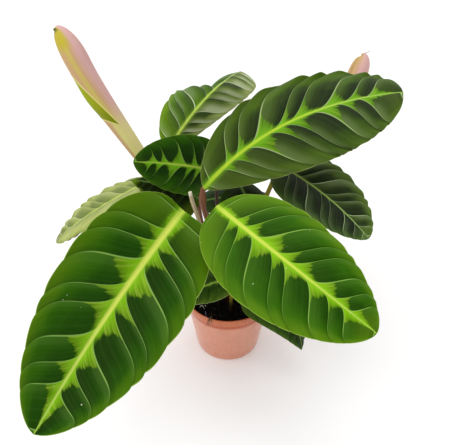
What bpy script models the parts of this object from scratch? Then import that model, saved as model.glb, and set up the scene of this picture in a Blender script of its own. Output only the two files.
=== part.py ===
"""A calathea in a nursery pot: quilted leaves on stalks that stand in the soil of a thin tapered pot.

Metres, +Z up. The origin is the centre of the pot's flat underside, and the plant's front is -Y.
"""

import math

import bmesh
import bpy
import numpy as np
from mathutils import Vector

for leftover in list(bpy.data.objects):
    bpy.data.objects.remove(leftover, do_unlink=True)

# Pot and soil
POT_HEIGHT = 0.095
POT_RIM_RADIUS = 0.060
POT_BASE_RADIUS = 0.0455
POT_WALL = 0.0014
POT_FLOOR = 0.0020
POT_EDGE_ROUND = 0.0020
RIM_BAND_HEIGHT = 0.011
RIM_BAND_STEP = 0.0018
RIM_LIP_ROUND = 0.0007
POT_SEGMENTS = 48
DRAIN_HOLES = 6
DRAIN_HOLE_RADIUS = 0.0035
DRAIN_CIRCLE_RADIUS = 0.030
SOIL_BELOW_RIM = 0.010
SOIL_BUMP = 0.0016
SOIL_RINGS = 6
SOIL_SEGMENTS = 24
SOIL_TOP = POT_HEIGHT - SOIL_BELOW_RIM
CLEARANCE = 0.0003
STALK_HOLE_CLEARANCE = 0.00042

# Leaves
BLADE_THICKNESS = 0.0007
BLADE_BASE_HALF_WIDTH = 0.0013
BLADE_TIP_HALF_WIDTH = 0.0004
RIB_DEPTH = 0.0013
RIB_TAPER = 0.7
VEIN_START_SWEEP = 0.30
VEIN_START_SPREAD = 0.06
VEIN_SWEEP = 1.15
QUILT_EDGE = 0.8
COLUMNS = (0.0, 0.07, 0.3, 0.55, 0.8, 1.0)
EXTRA_ROWS = (0.008, 0.024, 0.985)
MIDRIB_STEPS = 200
SLOPE_STEP = 0.002

# New leaves, whose roll grows from the stalk, is widest near its top and closes to a leaning tip
ROLL_STEPS = 14
ROLL_SIDES = 14
ROLL_GROWTH = 0.45
ROLL_CLOSING = 0.20
ROLL_TIP = 0.14
ROLL_LEAN_POWER = 8

# Stalks
STALK_TOP_RADIUS = 0.0019
STALK_FOOT_RADIUS = 0.0028
STALK_SIDES = 8
STALK_STEPS = 12
STALK_DEPTH = 0.025
STALK_BEND = 0.3
STALK_ABOVE_BASE = 0.0008
STALK_EXIT = SOIL_TOP + 2 * SOIL_BUMP
UPRIGHT = np.array([0.0, 0.0, 1.0])

# Every open leaf. foot is where its stalk leaves the soil and base where the blade starts. The midrib sets
# off at heading (degrees from +Y towards +X) and turns by bend, while its slope above level goes from first
# to last. roll turns the blade about its midrib, at the base and at the tip. half is the half width left and
# right of the midrib, and full the two powers of the outline, which set how round the base and the tip are.
# cup lifts the two halves, in degrees, and droop lets their margins fall again. quilt is how far the blade
# bulges between its side veins, and wave how far its margin ripples. rise and reach are the lengths of the
# stalk's straight ends. Where they are given, stout makes the stalk thicker than the usual one, and fold turns
# the left half down: the share of the length where it does so most, how far to each side, and the angle.
LEAVES = {
    "front_left": dict(
        foot=(-0.012, -0.018), base=(-0.0492, -0.0759, 0.2812), heading=-147, bend=-19, slope=(-19, -4),
        length=0.2498, roll=(43, 36), half=(0.065, 0.067), full=(0.38, 0.56), cup=(17, 17), droop=-3,
        veins=10, quilt=0.0016, wave=0.0008, rise=0.11, reach=0.014),
    "front_right": dict(
        foot=(0.000, -0.018), base=(-0.013, -0.083, 0.291), heading=140, bend=-14, slope=(-6, -21),
        length=0.198, roll=(-22, -19), half=(0.054, 0.058), full=(0.45, 0.60), cup=(10, 6), droop=12,
        veins=10, quilt=0.0015, wave=0.0008, rise=0.11, reach=0.014),
    "upper_right": dict(
        foot=(-0.006, -0.004), base=(-0.0275, -0.0460, 0.2895), heading=43, bend=55, slope=(28, 8),
        length=0.261, roll=(-43, -20), half=(0.060, 0.060), full=(0.71, 0.46), cup=(6, 2), droop=15,
        veins=10, quilt=0.0015, wave=0.0016, rise=0.12, reach=0.016, stout=1.45),
    "right_back": dict(
        foot=(0.022, 0.012), base=(0.062, 0.050, 0.268), heading=124, bend=12, slope=(-11, -31),
        length=0.149, roll=(-14, -6), half=(0.050, 0.047), full=(0.40, 0.60), cup=(13, 11), droop=10,
        veins=9, quilt=0.0014, wave=0.0012, rise=0.09, reach=0.010, stout=1.25),
    "small_left": dict(
        foot=(-0.012, 0.008), base=(-0.012, 0.026, 0.270), heading=-125, bend=11, slope=(30, 13),
        length=0.116, roll=(81, 78), half=(0.035, 0.037), full=(0.39, 0.60), cup=(10, 12), droop=8,
        veins=7, quilt=0.0012, wave=0.0008, rise=0.10, reach=0.012),
    "top_back": dict(
        foot=(-0.014, 0.018), base=(-0.077, 0.069, 0.280), heading=49, bend=-25, slope=(49, -10),
        length=0.183, roll=(-48, 8), half=(0.066, 0.037), full=(0.47, 0.14), cup=(-8, -14), droop=20,
        veins=9, quilt=0.0022, wave=0.0018, rise=0.08, reach=0.030, fold=(0.76, 0.11, 45)),
    "far_left": dict(
        foot=(-0.030, 0.008), base=(-0.086, 0.034, 0.259), heading=-116, bend=20, slope=(-12, -41),
        length=0.160, roll=(-18, 0), half=(0.046, 0.046), full=(0.55, 0.60), cup=(13, 12), droop=10,
        veins=9, quilt=0.0018, wave=0.0016, rise=0.08, reach=0.025),
    "middle_left": dict(
        foot=(-0.026, 0.000), base=(-0.033, 0.004, 0.243), heading=-95, bend=-5, slope=(35, 10),
        length=0.086, roll=(8, 5), half=(0.026, 0.020), full=(0.30, 0.95), cup=(-48, 10), droop=8,
        veins=7, quilt=0.0012, wave=0.0008, rise=0.08, reach=0.012),
    "middle_right": dict(
        foot=(0.008, 0.002), base=(0.012, 0.014, 0.262), heading=158, bend=4, slope=(-14, -46),
        length=0.120, roll=(-4, 0), half=(0.027, 0.040), full=(0.42, 0.60), cup=(8, 8), droop=14,
        veins=8, quilt=0.0014, wave=0.0010, rise=0.09, reach=0.012),
    "middle_back": dict(
        foot=(-0.004, 0.031), base=(-0.038, 0.078, 0.192), heading=78, bend=8, slope=(12, -20),
        length=0.108, roll=(0, 0), half=(0.033, 0.033), full=(0.42, 0.60), cup=(9, 9), droop=10,
        veins=8, quilt=0.0014, wave=0.0010, rise=0.05, reach=0.012),
    "low_centre": dict(
        foot=(0.004, -0.030), base=(0.006, -0.062, 0.173), heading=-110, bend=-8, slope=(4, -16),
        length=0.072, roll=(6, 6), half=(0.026, 0.026), full=(0.45, 0.60), cup=(8, 8), droop=8,
        veins=6, quilt=0.0010, wave=0.0006, rise=0.04, reach=0.012),
    "low_right": dict(
        foot=(0.016, -0.014), base=(0.024, -0.021, 0.128), heading=124, bend=0, slope=(5, -85),
        length=0.130, roll=(-14, -4), half=(0.034, 0.038), full=(0.30, 0.90), cup=(8, -12), droop=10,
        veins=7, quilt=0.0012, wave=0.0008, rise=0.016, reach=0.008),
}

# New leaves still rolled up. The roll runs from base to tip, and its overlapping edge stands out by lap.
ROLLS = {
    "rolled_left": dict(
        foot=(-0.022, 0.016), base=(-0.096, 0.063, 0.239), tip=(-0.205, 0.090, 0.424),
        radius=(0.0032, 0.0143), lap=0.16, turn=200, bow=-0.002, lean=(-1.0, 0.0, 0.25),
        rise=0.06, reach=0.040),
    "rolled_right": dict(
        foot=(0.024, 0.024), base=(0.135, 0.118, 0.250), tip=(0.184, 0.175, 0.372),
        radius=(0.0030, 0.0130), lap=0.16, turn=20, bow=0.005, lean=(-0.4, 0.0, 0.5),
        rise=0.04, reach=0.050),
}

CUT_STALK = dict(foot=(-0.020, -0.006), top=(-0.045, -0.022, 0.270), rise=0.10, reach=0.05, radius=0.0022)


def material(name, colour, roughness):
    """A plain Principled material."""
    made = bpy.data.materials.new(name)
    made.use_nodes = True
    shader = made.node_tree.nodes["Principled BSDF"]
    shader.inputs["Base Color"].default_value = (*colour, 1.0)
    shader.inputs["Roughness"].default_value = roughness
    shader.inputs["Metallic"].default_value = 0.0
    return made


def add_object(name, mesh, finish=None):
    made = bpy.data.objects.new(name, mesh)
    bpy.context.scene.collection.objects.link(made)
    if finish:
        mesh.materials.append(finish)
    return made


def mesh_of(name, points, faces):
    """A smooth-shaded mesh whose faces all point outwards."""
    mesh = bpy.data.meshes.new(name)
    mesh.from_pydata([tuple(p) for p in points], [], faces)
    work = bmesh.new()
    work.from_mesh(mesh)
    bmesh.ops.recalc_face_normals(work, faces=work.faces)
    work.to_mesh(mesh)
    work.free()
    mesh.shade_smooth()
    mesh.set_sharp_from_angle(angle=math.radians(40))
    return mesh


def unit(vectors):
    return vectors / np.linalg.norm(vectors, axis=-1, keepdims=True)


def ring_faces(rings, sides):
    """Quads between rings of points that are numbered ring by ring."""
    return [
        (r * sides + i, r * sides + (i + 1) % sides, (r + 1) * sides + (i + 1) % sides, (r + 1) * sides + i)
        for r in range(rings - 1)
        for i in range(sides)
    ]


def turned(name, profile, segments):
    """A closed turned body from a profile of (radius, height) whose two ends lie on the axis."""
    angles = np.arange(segments) * 2 * math.pi / segments
    circle = np.stack([np.cos(angles), np.sin(angles), np.zeros(segments)], -1)
    rings = [circle * radius + np.array([0, 0, height]) for radius, height in profile[1:-1]]
    points = np.concatenate([*rings, [[0, 0, profile[0][1]]], [[0, 0, profile[-1][1]]]])
    first, last = len(points) - 2, len(points) - 1
    faces = ring_faces(len(rings), segments)
    end = (len(rings) - 1) * segments
    for i in range(segments):
        after = (i + 1) % segments
        faces.append((first, after, i))
        faces.append((last, end + i, end + after))
    return mesh_of(name, points, faces)


def swept(name, path, radii, ends=(None, None), sides=STALK_SIDES, section=None, turn=0.0):
    """A tube along a path with flat ends, which face along the directions in ends where those are given.

    section, if given, is a factor on the radius for each side.
    """
    tangent = unit(np.gradient(path, axis=0))
    for place, direction in zip((0, -1), ends):
        if direction is not None:
            tangent[place] = direction
    across = [unit(np.cross(tangent[0], (0.0, 1.0, 0.0)))]
    for direction in tangent[1:]:
        across.append(unit(across[-1] - direction * (across[-1] @ direction)))
    across = np.array(across)
    up = np.cross(tangent, across)
    angles = np.arange(sides) * 2 * math.pi / sides + math.radians(turn)
    factor = np.ones(sides) if section is None else section
    spokes = across[:, None] * np.cos(angles)[None, :, None] + up[:, None] * np.sin(angles)[None, :, None]
    points = path[:, None] + spokes * (radii[:, None] * factor)[:, :, None]
    count = len(path)
    faces = ring_faces(count, sides)
    faces.append(tuple(reversed(range(sides))))
    faces.append(tuple((count - 1) * sides + i for i in range(sides)))
    return mesh_of(name, points.reshape(-1, 3), faces)


def bezier(start, first, second, end, steps):
    """Points along a cubic curve, evenly spaced in its parameter."""
    t = np.linspace(0, 1, steps)[:, None]
    s = 1 - t
    return s**3 * start + 3 * s**2 * t * first + 3 * s * t**2 * second + t**3 * end


def midrib(leaf, along):
    """Place, direction, right-hand and upward vectors at each share of the leaf's length.

    The heading and the slope change evenly along the length, and the place is the sum of the steps taken.
    """
    steps = np.linspace(0, 1, MIDRIB_STEPS + 1)
    heading = np.radians(leaf["heading"] + leaf["bend"] * steps)
    slope = np.radians(leaf["slope"][0] + (leaf["slope"][1] - leaf["slope"][0]) * steps)
    level = np.cos(slope)
    direction = np.stack([np.sin(heading) * level, np.cos(heading) * level, np.sin(slope)], -1)
    stride = (direction[1:] + direction[:-1]) / 2 * leaf["length"] / MIDRIB_STEPS
    place = np.concatenate([[np.zeros(3)], np.cumsum(stride, axis=0)]) + np.array(leaf["base"])
    aside = np.stack([np.cos(heading), -np.sin(heading), np.zeros_like(heading)], -1)
    rising = np.cross(aside, direction)
    roll = np.radians(leaf["roll"][0] + (leaf["roll"][1] - leaf["roll"][0]) * steps)[:, None]
    right = aside * np.cos(roll) + rising * np.sin(roll)
    above = rising * np.cos(roll) - aside * np.sin(roll)

    def at(values):
        return np.stack([np.interp(along, steps, values[:, i]) for i in range(3)], -1)

    return at(place), unit(at(direction)), unit(at(right)), unit(at(above))


def half_width(leaf, along, side):
    """Half the blade's width: the product of two powers, greatest where they balance."""
    widest = np.where(side < 0, leaf["half"][0], leaf["half"][1])
    toward_base, toward_tip = leaf["full"]
    peak = toward_base / (toward_base + toward_tip)
    share = (along / peak) ** toward_base * ((1 - along) / (1 - peak)) ** toward_tip
    least = BLADE_BASE_HALF_WIDTH + (BLADE_TIP_HALF_WIDTH - BLADE_BASE_HALF_WIDTH) * along
    return np.maximum(widest * share, least)


def blade_surface(leaf, vein, across):
    """The blade's middle surface at a share of the midrib where a side vein starts, and from -1 to 1 across.

    A side vein sweeps forward as it runs out to the margin, by a share of the way that is left to the tip.
    The blade dips at each vein and bulges between them, and the margin ripples at the same spacing.
    """
    out = np.abs(across)
    sweep = VEIN_START_SWEEP * (1 - np.exp(-out / VEIN_START_SPREAD)) + VEIN_SWEEP * out
    along = (1 + sweep) * vein / (1 + sweep * vein)
    place, _, right, above = midrib(leaf, along)
    width = half_width(leaf, along, across)
    cup = np.where(across < 0, leaf["cup"][0], leaf["cup"][1])
    lift = np.radians(cup - leaf["droop"] * out)
    if "fold" in leaf:
        middle, spread, angle = leaf["fold"]
        lift -= np.where(across < 0, np.radians(angle) * np.exp(-(((along - middle) / spread) ** 2)), 0)
    between = -np.cos(2 * math.pi * leaf["veins"] * vein)
    fade = np.clip(4 * vein * (1 - vein), 0, 1)
    bulge = leaf["quilt"] * between * np.sin(math.pi * np.minimum(out, QUILT_EDGE)) * fade
    ripple = leaf["wave"] * between * out**3 * fade
    sideways = (across * width * np.cos(lift))[..., None]
    upward = (out * width * np.sin(lift) + bulge + ripple)[..., None]
    return place + right * sideways + above * upward


def blade(name, leaf, finish):
    """A leaf blade: two copies of its surface, a thickness apart, with the rib standing out below."""
    columns = np.array([-c for c in reversed(COLUMNS[1:])] + list(COLUMNS))
    rows = np.linspace(0, 1, 2 * leaf["veins"] + 1)
    rows = np.sort(np.concatenate([rows, EXTRA_ROWS]))
    vein, across = np.meshgrid(rows, columns, indexing="ij")
    middle = blade_surface(leaf, vein, across)
    _, _, _, above = midrib(leaf, vein)
    before, after = np.maximum(vein - SLOPE_STEP, 0), np.minimum(vein + SLOPE_STEP, 1)
    ahead = blade_surface(leaf, after, across) - blade_surface(leaf, before, across)
    left, right = np.maximum(across - SLOPE_STEP, -1), np.minimum(across + SLOPE_STEP, 1)
    aside = blade_surface(leaf, vein, right) - blade_surface(leaf, vein, left)
    normal = unit(np.cross(aside, ahead))
    ends = (vein < SLOPE_STEP) | (vein > 1 - SLOPE_STEP)
    normal = np.where(ends[..., None], above, normal)
    normal *= np.sign(np.sum(normal * above, -1, keepdims=True))
    rib = RIB_DEPTH * (1 - RIB_TAPER * vein) * (across == 0)
    top = middle + normal * BLADE_THICKNESS / 2
    bottom = middle - normal * (BLADE_THICKNESS / 2 + rib[..., None])
    return add_object(name, sheet_body(name, top, bottom), finish)


def sheet_body(name, top, bottom):
    """A closed body between two grids of points, both split into triangles along the same diagonals."""
    rows, columns = top.shape[:2]
    under = rows * columns
    faces = []
    for r in range(rows - 1):
        for c in range(columns - 1):
            a = r * columns + c
            b, d = a + 1, a + columns
            e = d + 1
            left_half = c < (columns - 1) // 2
            for triangle in ((a, b, d), (b, e, d)) if left_half else ((a, b, e), (a, e, d)):
                faces.append(triangle)
                faces.append(tuple(under + i for i in reversed(triangle)))
    rim = [c for c in range(columns)]
    rim += [r * columns + columns - 1 for r in range(1, rows)]
    rim += [(rows - 1) * columns + c for c in reversed(range(columns - 1))]
    rim += [r * columns for r in reversed(range(1, rows - 1))]
    for a, b in zip(rim, rim[1:] + rim[:1]):
        faces.append((b, a, under + a, under + b))
    return mesh_of(name, np.concatenate([top.reshape(-1, 3), bottom.reshape(-1, 3)]), faces)


def stalk_path(foot, end, arrival, rise, reach):
    """From the foot in the soil straight up, then in one curve to the end, which it meets along arrival."""
    surface = np.array([foot[0], foot[1], STALK_EXIT])
    buried = surface - np.array([0, 0, STALK_DEPTH])
    curve = bezier(surface, surface + np.array([0, 0, rise]), end - arrival * reach, end, STALK_STEPS)
    return np.concatenate([[buried], curve])


def foot_radius(shape):
    return STALK_FOOT_RADIUS * shape.get("stout", 1.0)


def stalk(name, foot, end, arrival, shape, finish, top_radius=STALK_TOP_RADIUS):
    path = stalk_path(foot, end, arrival, shape["rise"], shape["reach"])
    radii = np.linspace(foot_radius(shape), top_radius * shape.get("stout", 1.0), len(path))
    radii[:2] = foot_radius(shape)
    return add_object(name, swept(name, path, radii, (UPRIGHT, arrival)), finish)


def stalk_end(leaf):
    """Where a stalk ends and its direction there: upright behind the blade's base, its side to the blade's end."""
    base, direction, right, above = (values[0] for values in midrib(leaf, np.zeros(1)))
    way = unit(base - np.array([*leaf["foot"], SOIL_TOP]))
    arrival = unit(way + direction * STALK_BEND)
    forward = unit(direction - arrival * (direction @ arrival))
    corners = [
        right * side * BLADE_BASE_HALF_WIDTH + above * height
        for side in (-1, 1)
        for height in (BLADE_THICKNESS / 2, -BLADE_THICKNESS / 2 - RIB_DEPTH)
    ]
    nearest = min(corner @ forward for corner in corners)
    radius = STALK_TOP_RADIUS * leaf.get("stout", 1.0)
    return base - forward * (radius + CLEARANCE - nearest) + arrival * STALK_ABOVE_BASE, arrival


def open_leaves(blade_finish, stalk_finish):
    for name, leaf in LEAVES.items():
        blade("blade_" + name, leaf, blade_finish)
        end, arrival = stalk_end(leaf)
        stalk("stalk_" + name, leaf["foot"], end, arrival, leaf, stalk_finish)


def rolled_leaf(name, roll, finish, stalk_finish):
    """A blade still rolled up: a horn with a step where its outer edge overlaps, closing to a leaning tip.

    Its radius grows as a power of the share of its length, and closes at the tip as a quarter ellipse does.
    """
    base, tip = np.array(roll["base"]), np.array(roll["tip"])
    direction = unit(tip - base)
    sideways = unit(np.cross(direction, UPRIGHT))
    share = np.linspace(0, 1, ROLL_STEPS)
    path = base + (tip - base) * share[:, None] + sideways * (roll["bow"] * np.sin(math.pi * share))[:, None]
    narrow, wide = roll["radius"]
    radii = narrow + (wide - narrow) * share**ROLL_GROWTH
    closed = np.maximum(share - (1 - ROLL_CLOSING), 0) / ROLL_CLOSING
    closing = np.maximum(np.sqrt(1 - closed**2), ROLL_TIP)
    lean = np.array(roll["lean"])
    lean = unit(lean - direction * (direction @ lean))
    path = path + lean * (radii * (1 - closing) - wide * share**ROLL_LEAN_POWER)[:, None]
    radii = radii * closing
    section = 1 + roll["lap"] * np.arange(ROLL_SIDES) / (ROLL_SIDES - 1)
    start = unit(path[1] - path[0])
    rolled = swept("blade_" + name, path, radii, (start, direction), ROLL_SIDES, section, roll["turn"])
    add_object("blade_" + name, rolled, finish)
    end = base - start * CLEARANCE
    stalk("stalk_" + name, roll["foot"], end, start, roll, stalk_finish, top_radius=narrow)


def pot(finish):
    """The tapered pot with its rim band, a flat floor and drain holes."""
    band_bottom = POT_HEIGHT - RIM_BAND_HEIGHT
    wall_top = POT_RIM_RADIUS - RIM_BAND_STEP
    slope = (wall_top - POT_BASE_RADIUS) / band_bottom
    profile = [
        (0, 0),
        (POT_BASE_RADIUS - POT_EDGE_ROUND, 0),
        (POT_BASE_RADIUS - POT_EDGE_ROUND * 0.3, POT_EDGE_ROUND * 0.3),
        (POT_BASE_RADIUS + slope * POT_EDGE_ROUND, POT_EDGE_ROUND),
        (wall_top, band_bottom),
        (POT_RIM_RADIUS - RIM_LIP_ROUND, band_bottom),
        (POT_RIM_RADIUS, band_bottom + RIM_LIP_ROUND),
        (POT_RIM_RADIUS + RIM_LIP_ROUND, POT_HEIGHT - RIM_LIP_ROUND),
        (POT_RIM_RADIUS, POT_HEIGHT),
        (POT_RIM_RADIUS - POT_WALL + RIM_LIP_ROUND, POT_HEIGHT),
        (POT_RIM_RADIUS - POT_WALL, POT_HEIGHT - RIM_LIP_ROUND),
        (POT_RIM_RADIUS - POT_WALL, band_bottom + POT_WALL),
        (wall_top - POT_WALL, band_bottom - POT_WALL),
        (POT_BASE_RADIUS + slope * POT_FLOOR - POT_WALL, POT_FLOOR),
        (0, POT_FLOOR),
    ]
    body = add_object("pot", turned("pot", profile, POT_SEGMENTS), finish)
    holes = bmesh.new()
    for i in range(DRAIN_HOLES):
        angle = (i + 0.5) * 2 * math.pi / DRAIN_HOLES
        made = bmesh.ops.create_cone(
            holes, cap_ends=True, segments=12, radius1=DRAIN_HOLE_RADIUS, radius2=DRAIN_HOLE_RADIUS,
            depth=POT_FLOOR * 4)
        place = Vector((math.cos(angle), math.sin(angle), 0)) * DRAIN_CIRCLE_RADIUS
        bmesh.ops.translate(holes, verts=made["verts"], vec=place)
    cut(body, holes, "drain_holes")
    return body


def cut(body, cutter_mesh, name):
    """Takes the cutter's bodies out of the object."""
    mesh = bpy.data.meshes.new(name)
    cutter_mesh.to_mesh(mesh)
    cutter_mesh.free()
    cutter = add_object(name, mesh)
    cutter.hide_render = True
    cutter.display_type = "WIRE"
    modifier = body.modifiers.new(name, "BOOLEAN")
    modifier.operation = "DIFFERENCE"
    modifier.object = cutter


def soil(finish, rooted):
    """Peat that fills the pot, with an uneven top and a plain hole round each stalk's foot."""
    band_bottom = POT_HEIGHT - RIM_BAND_HEIGHT
    slope = (POT_RIM_RADIUS - RIM_BAND_STEP - POT_BASE_RADIUS) / band_bottom
    inner_base = POT_BASE_RADIUS + slope * POT_FLOOR - POT_WALL - CLEARANCE
    floor = POT_FLOOR + CLEARANCE
    shoulder = band_bottom - POT_WALL * 2
    inner_top = inner_base + slope * (shoulder - floor)
    rings = [(inner_top * (i + 1) / SOIL_RINGS, SOIL_TOP) for i in reversed(range(SOIL_RINGS))]
    profile = [(0, floor), (inner_base, floor), (inner_top, shoulder), *rings, (0, SOIL_TOP)]
    mesh = turned("soil", profile, SOIL_SEGMENTS)
    for vertex in mesh.vertices:
        x, y, z = vertex.co
        if z > SOIL_TOP - CLEARANCE:
            vertex.co.z += SOIL_BUMP * math.sin(170 * x + 90 * y) * math.cos(140 * y - 60 * x)
    body = add_object("soil", mesh, finish)
    holes = bmesh.new()
    for shape in rooted:
        radius = foot_radius(shape) + STALK_HOLE_CLEARANCE
        made = bmesh.ops.create_cone(
            holes, cap_ends=True, segments=2 * STALK_SIDES, radius1=radius, radius2=radius,
            depth=2 * STALK_DEPTH)
        bmesh.ops.translate(holes, verts=made["verts"], vec=(*shape["foot"], STALK_EXIT - CLEARANCE))
    cut(body, holes, "stalk_holes")
    return body


def cut_stalk(finish):
    """The stub of an old leaf, cut off flat."""
    end = np.array(CUT_STALK["top"])
    surface = np.array([*CUT_STALK["foot"], SOIL_TOP])
    arrival = unit(end - surface)
    path = stalk_path(CUT_STALK["foot"], end, arrival, CUT_STALK["rise"], CUT_STALK["reach"])
    radii = np.linspace(STALK_FOOT_RADIUS, CUT_STALK["radius"], len(path))
    radii[:2] = STALK_FOOT_RADIUS
    add_object("cut_stalk", swept("cut_stalk", path, radii, (UPRIGHT, arrival)), finish)


def main():
    leaf_green = material("leaf_green", (0.045, 0.13, 0.02), 0.5)
    stalk_brown = material("stalk_brown", (0.13, 0.05, 0.035), 0.5)
    new_leaf_pink = material("new_leaf_pink", (0.62, 0.40, 0.36), 0.55)
    new_stalk_green = material("new_stalk_green", (0.36, 0.40, 0.12), 0.5)
    cut_stalk_pale = material("cut_stalk_pale", (0.50, 0.42, 0.28), 0.7)
    terracotta = material("terracotta_plastic", (0.52, 0.15, 0.07), 0.4)
    peat = material("peat", (0.012, 0.008, 0.006), 0.95)

    pot(terracotta)
    soil(peat, [*LEAVES.values(), *ROLLS.values(), CUT_STALK])
    open_leaves(leaf_green, stalk_brown)
    for name, roll in ROLLS.items():
        rolled_leaf(name, roll, new_leaf_pink, new_stalk_green)
    cut_stalk(cut_stalk_pale)


main()
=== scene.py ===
import math

import bpy
import numpy as np
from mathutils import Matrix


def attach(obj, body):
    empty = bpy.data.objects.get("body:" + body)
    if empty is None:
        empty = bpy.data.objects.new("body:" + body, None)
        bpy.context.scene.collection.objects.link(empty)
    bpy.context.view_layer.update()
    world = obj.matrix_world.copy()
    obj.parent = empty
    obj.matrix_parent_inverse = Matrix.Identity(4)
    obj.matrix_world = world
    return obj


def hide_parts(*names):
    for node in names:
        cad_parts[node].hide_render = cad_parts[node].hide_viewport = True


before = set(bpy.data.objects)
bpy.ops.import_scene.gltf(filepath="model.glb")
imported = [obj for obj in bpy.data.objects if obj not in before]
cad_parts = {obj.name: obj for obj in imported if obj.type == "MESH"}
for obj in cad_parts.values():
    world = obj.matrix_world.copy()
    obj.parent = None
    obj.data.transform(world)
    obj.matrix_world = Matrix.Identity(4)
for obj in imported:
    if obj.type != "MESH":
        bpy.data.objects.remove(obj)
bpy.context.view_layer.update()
print("frame loaded with", len(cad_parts), "nodes")

# Shared sizes, in metres, as the solids have them
potSizes = dict(
    height=0.095, rimRadius=0.060, baseRadius=0.0455, wall=0.0014, floor=0.0020, edgeRound=0.0020,
    bandHeight=0.011, bandStep=0.0018, lipRound=0.0007, drainHoles=6, drainRadius=0.0035, drainCircle=0.030)
soilSizes = dict(belowRim=0.010, bump=0.0016, clearance=0.0003)
soilTop = potSizes["height"] - soilSizes["belowRim"]
stalkExit = soilTop + 2 * soilSizes["bump"]
upright = np.array([0.0, 0.0, 1.0])
fullTurn = 6.2832


# Shader maths

# A number or colour on its way through a material's nodes. Arithmetic on it adds Math nodes.
class Flow:
    def __init__(self, paint, socket):
        self.paint = paint
        self.socket = socket

    def sum(self, operation, other=0.0, swapped=False):
        first, second = (other, self) if swapped else (self, other)
        return self.paint.node("ShaderNodeMath", {"operation": operation}, {0: first, 1: second})

    def __add__(self, other):
        return self.sum("ADD", other)

    __radd__ = __add__

    def __mul__(self, other):
        return self.sum("MULTIPLY", other)

    __rmul__ = __mul__

    def __sub__(self, other):
        return self.sum("SUBTRACT", other)

    def __rsub__(self, other):
        return self.sum("SUBTRACT", other, True)

    def __truediv__(self, other):
        return self.sum("DIVIDE", other)

    def __pow__(self, other):
        return self.sum("POWER", other)

    def __abs__(self):
        return self.sum("ABSOLUTE")

    # the larger of two values
    def atLeast(self, other):
        return self.sum("MAXIMUM", other)

    # what is left after the whole numbers, and the distance to the nearest one
    def part(self):
        return self.sum("FRACT")

    def toWhole(self):
        return self.sum("PINGPONG", 0.5)

    def wave(self):
        return self.sum("SINE")

    def whole(self):
        return self.sum("FLOOR")

    # 0 at low and 1 at high with a smooth step between, or the other way round where low is above high
    def step(self, low, high):
        settings = {"interpolation_type": "SMOOTHSTEP"}
        return self.paint.node("ShaderNodeMapRange", settings, {0: self, 1: low, 2: high, 3: 0.0, 4: 1.0})

    # the three numbers of a vector
    def split(self):
        made = self.paint.tree.nodes.new("ShaderNodeSeparateXYZ")
        self.paint.feed(made.inputs[0], self)
        return [Flow(self.paint, socket) for socket in made.outputs]


# One material and its nodes.
class Paint:
    def __init__(self, name):
        self.material = bpy.data.materials.new(name)
        self.material.use_nodes = True
        self.tree = self.material.node_tree
        self.tree.nodes.clear()

    def feed(self, socket, value):
        if isinstance(value, Flow):
            self.tree.links.new(value.socket, socket)
        elif isinstance(value, tuple) and len(value) == 3 and socket.type == "RGBA":
            socket.default_value = (*value, 1.0)
        else:
            socket.default_value = value

    # adds a node of any type: its settings go in first, then the values or links of its sockets
    def node(self, kind, settings=None, sockets=None, output=0):
        made = self.tree.nodes.new(kind)
        for key, value in (settings or {}).items():
            setattr(made, key, value)
        for key, value in (sockets or {}).items():
            self.feed(made.inputs[key], value)
        return Flow(self, made.outputs[output]) if made.outputs else None

    # colour a where the share is 0 and colour b where it is 1
    def mix(self, share, a, b):
        settings = {"data_type": "RGBA", "clamp_factor": True}
        return self.node("ShaderNodeMix", settings, {0: share, 6: a, 7: b}, 2)

    def vector(self, x, y, z):
        return self.node("ShaderNodeCombineXYZ", None, {0: x, 1: y, 2: z})

    def place(self, scale=(1.0, 1.0, 1.0)):
        point = self.node("ShaderNodeTexCoord", None, None, 3)
        return self.node("ShaderNodeMapping", None, {0: point, 3: scale})

    def noise(self, where, scale=1.0, detail=2.0, rough=0.5):
        sockets = {"Vector": where, "Scale": scale, "Detail": detail, "Roughness": rough}
        return self.node("ShaderNodeTexNoise", None, sockets)

    # noise on a surface's own three numbers, drawn out by what each is multiplied with
    def drawn(self, x, y, z, detail=2.0, rough=0.5):
        return self.noise(self.vector(x, y, z), 1.0, detail, rough)

    def attribute(self, name):
        return self.node("ShaderNodeAttribute", {"attribute_name": name}, None, 2)

    def uv(self):
        return self.node("ShaderNodeUVMap", {"uv_map": "surface"}).split()[:2]

    # finishes the material: what varies comes as a Flow, and constants are set on the sockets themselves
    def finish(self, colour, roughness, height=None, depth=0.0005, strength=0.5, **constants):
        sockets = {"Base Color": colour, "Roughness": roughness, "Metallic": 0.0}
        if height is not None:
            bump = {"Strength": strength, "Distance": depth, "Height": height}
            sockets["Normal"] = self.node("ShaderNodeBump", None, bump)
        for key, value in constants.items():
            sockets[key.replace("_", " ")] = value
        shader = self.node("ShaderNodeBsdfPrincipled", None, sockets)
        self.node("ShaderNodeOutputMaterial", None, {0: shader})
        return self.material


lightLevel = 1.15  # how much brighter than its colour a surface looks in this light


# A colour given as a screen shows it, from 0 to 255, as the linear colour that shaders use: straight
# below 11, and a power of 2.4 above.
def tint(red, green, blue, strength=1.0):
    linear = (c / 3294.6 if c <= 10 else ((c / 255 + 0.055) / 1.055) ** 2.4 for c in (red, green, blue))
    return tuple(min(c * strength / lightLevel, 1.0) for c in linear)


# Meshes

# Vectors divided by their own lengths.
def unit(vectors):
    return vectors / np.linalg.norm(vectors, axis=-1, keepdims=True)


# Quads between the points of a grid that are numbered row by row, and each corner's place in the grid.
def gridQuads(rows, columns, closed=False):
    r, c = np.meshgrid(np.arange(rows - 1), np.arange(columns if closed else columns - 1), indexing="ij")
    cornerRow = np.stack([r, r, r + 1, r + 1], -1).reshape(-1, 4)
    cornerColumn = np.stack([c, c + 1, c + 1, c], -1).reshape(-1, 4)
    return cornerRow * columns + cornerColumn % columns, cornerRow, cornerColumn


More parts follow.
